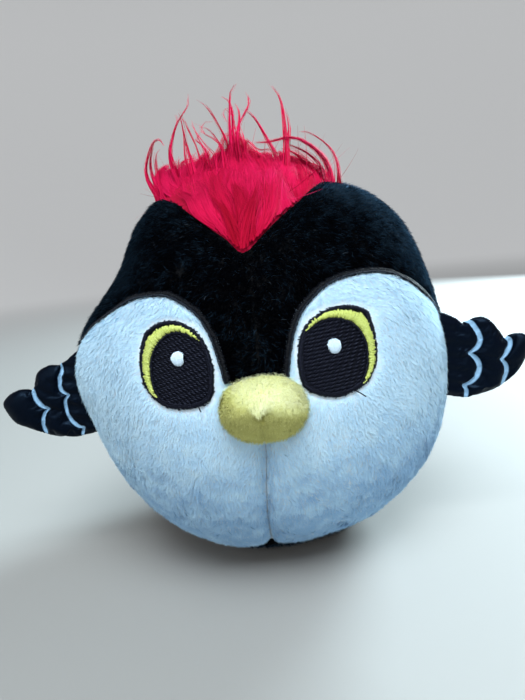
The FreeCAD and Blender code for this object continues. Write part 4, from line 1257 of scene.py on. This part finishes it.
def crest():
    rng = np.random.default_rng(101)
    count = int(24000 * (1))
    P, N = sample(CREST_V, CREST_F, count, rng)
    n = norm(P)
    # locks: strands gather towards the nearest lock's line
    locks = 330
    lp, _ = sample(CREST_V, CREST_F, locks, rng)
    ln = norm(lp)
    own = (n @ ln.T + rng.normal(0, 0.0006, (count, locks))).argmax(1)
    m = 11
    s = np.linspace(0, 1, m)
    seg_a = np.vstack([np.array(g)[:-1] for g in GUIDES])
    seg_b = np.vstack([np.array(g)[1:] for g in GUIDES])
    ab = seg_b - seg_a
    seg_way = norm(ab)

    def combed(p):
        """The way the hair runs at points p: along the guides near them, else up and back."""
        nn = norm(p)
        f = np.stack([0.5 * nn[:, 0], np.full(len(nn), 0.45), np.full(len(nn), 1.0)], 1)
        plain = norm(tangent(f, nn) + 0.20 * nn)
        t = np.clip(((p[:, None] - seg_a) * ab).sum(2) / (ab ** 2).sum(1), 0, 1)
        near = seg_a + t[..., None] * ab
        w = 1 / (((p[:, None] - near) ** 2).sum(2) + 5.0) ** 2
        return norm(plain * 0.00035 + (w[..., None] * seg_way).sum(1))

    crown = ease(ln[:, 2], 0.80, 0.98)
    travel = rng.uniform(26, 42, locks) * (1 - crown) + rng.uniform(16, 28, locks) * crown
    lift = rng.uniform(1.6, 4.4, locks) * (1 - crown) + rng.uniform(4.0, 9.0, locks) * crown
    dev = rng.normal(0, 0.10, locks) + 0.12 * noise3(ln * R0, 12, 103)
    sway = rng.normal(0, 0.16, locks)
    slack = rng.normal(-0.6, 1.0, locks) + np.where(rng.random(locks) < 0.12, rng.uniform(1, 4, locks), 0)
    q = ln * 78.8
    line = [q]
    for i in range(m - 1):
        d = combed(q)
        nn = norm(q)
        a = dev + sway * math.cos(0.9 * i)
        d = d + np.cross(nn, d) * a[:, None]
        room = np.interp(q[:, 0], TOP_LINE[:, 0], TOP_LINE[:, 1]) + 0.17 * (q[:, 1] + 17) + slack - q[:, 2]
        over = ease(-room, -3.0, 0.5)[:, None]
        d = norm(d * (1 - over) + over * np.array([0, 1.0, 0.05]) + over * d * np.array([0.6, 0.2, 0]))
        q = q + d * (travel / (m - 1))[:, None]
        r = np.linalg.norm(q, axis=1)
        least = 79.0 + lift * (1 - math.exp(-2.4 * (i + 1) / (m - 1)))
        q = q * (np.maximum(r, least) / r)[:, None]
        line.append(q)
    L_pts = np.stack(line, 1)
    for k in range(2):
        L_pts[:, 1:-1] = 0.5 * L_pts[:, 1:-1] + 0.25 * (L_pts[:, :-2] + L_pts[:, 2:])
    lock_p = L_pts[own]
    off = (n - ln[own]) * 78.5
    gather = rng.uniform(0.30, 0.80, count)
    shrink = 1 - gather[:, None] * (s[None] ** 0.9)
    paths = lock_p + off[:, None] * shrink[..., None]
    wander = rng.normal(0, 1, (count, 1, 3)) * (s[None, :, None] ** 1.5) * 0.45
    wiggle = rng.normal(0, 1, (count, 1, 3)) * np.sin(s[None, :, None] * 4 + rng.uniform(0, 6, (count, 1, 1))) * 0.16
    paths = paths + wander + wiggle * s[None, :, None]
    short = rng.uniform(0.55, 1.0, count)
    grid = s[None] * short[:, None] * (m - 1)
    i0 = np.clip(np.floor(grid).astype(int), 0, m - 2)
    fr = (grid - i0)[..., None]
    rows = np.arange(count)[:, None]
    paths = paths[rows, i0] * (1 - fr) + paths[rows, i0 + 1] * fr
    # layering: upper strands stand off the lower ones
    layer = rng.uniform(0, 1, count)
    r = np.linalg.norm(paths, axis=2)
    floor_r = 78.9 + 1.6 * s[None] + layer[:, None] * 2.0 * s[None]
    paths = paths * (np.maximum(r, floor_r) / r)[..., None]
    # the tuft is darker towards the V's tip and its lower layers darker than the upper: painted shade; the rest varies
    # at random by lock and strand
    lock_tone = 0.54 + 0.22 * noise3(ln * R0, 10, 105) + rng.normal(0, 0.085, locks) + 0.06 - 0.44 * ease(-ln[:, 2], -0.78, -0.62)
    tone = lock_tone[own] + rng.normal(0, 0.035, count) + 0.16 * (layer - 0.5)
    width = rng.uniform(0.20, 0.34, count) * 1.0
    bulge = np.clip(off / 2.4, -1, 1)
    roots = n

    # wisps that stand above the tuft
    extra, extra_tone, extra_w, extra_root = [], [], [], []
    for line, size in zip(WISPS, WISP_SIZE):
        p = np.array(line)
        p[:, 1] = np.where(p[:, 1] > 101, 101 + (p[:, 1] - 101) * 0.82, p[:, 1])
        depth = rng.uniform(-4, 4)
        drift = rng.uniform(-5, 5)
        q = np.stack([p[:, 0], -18 + depth + drift * np.linspace(0, 1, len(p)) ** 1.5, p[:, 1]], 1)
        foot = norm(q[0] + np.array([0.0, rng.uniform(-3, 3), -4.0])) * 78.5
        mid_p = foot * 0.45 + q[0] * 0.55 + norm(foot) * 0.6
        q = np.vstack([foot, mid_p, q])
        q = spaced(spline(q, k=6), count=m)
        for j in range(size):
            o = rng.normal(0, 1, 3) * np.array([0.9, 0.9, 0.3])
            wob = rng.normal(0, 0.35, 3)
            cut = rng.uniform(0.8, 1.0)
            qq = spaced(q * 1.0, count=60)[: max(12, int(60 * cut))]
            qq = spaced(qq, count=m)
            pp = qq + o * (1 - 0.93 * s[:, None] ** 0.7) + wob * (np.sin(s * 4 + j)[:, None]) * s[:, None]
            extra.append(pp)
            extra_tone.append(rng.normal(0.58, 0.12))
            extra_w.append(rng.uniform(0.32, 0.50))
            extra_root.append(norm(foot))
    # loose hairs all round
    loose = 130
    ip = rng.choice(count, loose, replace=False)
    dirs0 = norm(n[ip] * rng.uniform(0.3, 1.0, (loose, 1)) + rng.normal(0, 0.55, (loose, 3)))
    for i, d0 in zip(ip, dirs0):
        if (d0 * n[i]).sum() < 0.15:
            d0 = norm(d0 + n[i])
        L = rng.uniform(9, 17)
        c = rng.normal(0, 0.4, 3)
        pp = n[i] * 79.5 + d0 * (s * L)[:, None] + c * ((s ** 2) * L * 0.5)[:, None]
        if pp[-1, 2] > 106 or n[i][1] < -0.62:
            continue
        extra.append(pp)
        extra_tone.append(rng.normal(0.5, 0.12))
        extra_w.append(rng.uniform(0.16, 0.24))
        extra_root.append(n[i])
    paths = np.vstack([paths, np.array(extra)])
    tone = np.concatenate([tone, extra_tone])
    width = np.concatenate([width, extra_w])
    roots = np.vstack([roots, extra_root])
    bulge = np.vstack([bulge, np.zeros((len(extra), 3))])
    # zones, each its own piece, split by where the strands are rooted
    row = np.digitize(roots[:, 1] * R0, [-46, -26, -6])
    col = np.digitize(roots[:, 0] * R0, [-12, 12])
    zone = row * 3 + col
    first = True
    for z in np.unique(zone):
        sel = zone == z
        if sel.sum() < 5:
            continue
        V, F, uv, soft = ribbons(paths[sel], width[sel], tone[sel], bulge[sel], 200 + int(z))
        ob = build("crest_strands_%d" % (z + 1), V, F, M_HAIR, "pile_red", uv=uv, normals=soft)
        c = norm(roots[sel].mean(0))
        a, b = c * 78.0, c * 100.0
        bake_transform(ob)
        if first:
            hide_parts("crest_pile")
            first = False
        print(ob.name, int(sel.sum()), len(F))


crest()

# ------------------------------------------------------------------ stage and light
def stage_floor():
    """A pale sheet that sweeps up into a wall all round."""
    arc = np.linspace(0, np.pi / 2, 13)[1:]
    rad = np.concatenate([[0.0, 0.4, 0.8, 1.2, 1.6, 2.0], 2.0 + 1.5 * np.sin(arc), [3.5]])
    z = np.concatenate([[0.0] * 6, 1.5 * (1 - np.cos(arc)), [2.6]])
    turns = 64
    verts, faces = [], []
    for r, h in zip(rad, z):
        for i in range(turns):
            a = 2 * math.pi * i / turns
            verts.append((r * math.cos(a), r * math.sin(a), h))
    for k in range(len(rad) - 1):
        for i in range(turns):
            j = (i + 1) % turns
            if k == 0:
                faces.append((0, turns + i, turns + j))
            else:
                faces.append((k * turns + i, (k + 1) * turns + i, (k + 1) * turns + j, k * turns + j))
    me = bpy.data.meshes.new("floor")
    me.from_pydata(verts, [], faces)
    for p in me.polygons:
        p.use_smooth = True
    mat, tree, b = shader("floor_paper", rough=0.75, spec=0.2)
    b.inputs["Base Color"].default_value = (0.36, 0.347, 0.328, 1)
    # the wall is lit from behind, as a light box is
    glow = me.attributes.new("glow", "FLOAT", "POINT")
    glow.data.foreach_set("value", [0.36 * min(max((math.hypot(v[0], v[1]) - 0.4) / 1.8, 0), 1) for v in verts])
    g = tree.nodes.new("ShaderNodeAttribute")
    g.attribute_name = "glow"
    b.inputs["Emission Color"].default_value = (0.95, 0.97, 1.0, 1)
    tree.links.new(g.outputs["Fac"], b.inputs["Emission Strength"])
    me.materials.append(mat)
    ob = bpy.data.objects.new("floor", me)
    scene.collection.objects.link(ob)


def area_light(name, at, aim, size, power, colour):
    data = bpy.data.lights.new(name, "AREA")
    data.shape = "RECTANGLE"
    data.size, data.size_y = size
    data.energy = power
    data.color = colour
    ob = bpy.data.objects.new(name, data)
    ob.location = at
    ob.rotation_mode = "QUATERNION"
    ob.rotation_quaternion = (Vector(aim) - Vector(at)).to_track_quat("-Z", "Y")
    scene.collection.objects.link(ob)


stage_floor()
area_light("window", (0.06, -0.62, 1.05), (0, -0.02, 0.09), (0.8, 0.6), 18.5, (0.82, 0.93, 1.0))
area_light("front_fill", (-0.6, -1.1, 0.6), (0, 0, 0.08), (0.9, 0.7), 2.4, (0.84, 0.93, 1.0))
area_light("rim", (0.72, 0.78, 0.48), (0.03, 0, 0.1), (0.4, 0.4), 36.0, (0.70, 0.90, 1.0))
world = bpy.data.worlds.new("world")
world.use_nodes = True
world.node_tree.nodes["Background"].inputs["Color"].default_value = (0.84, 0.92, 1.0, 1)
world.node_tree.nodes["Background"].inputs["Strength"].default_value = 0.16
scene.world = world
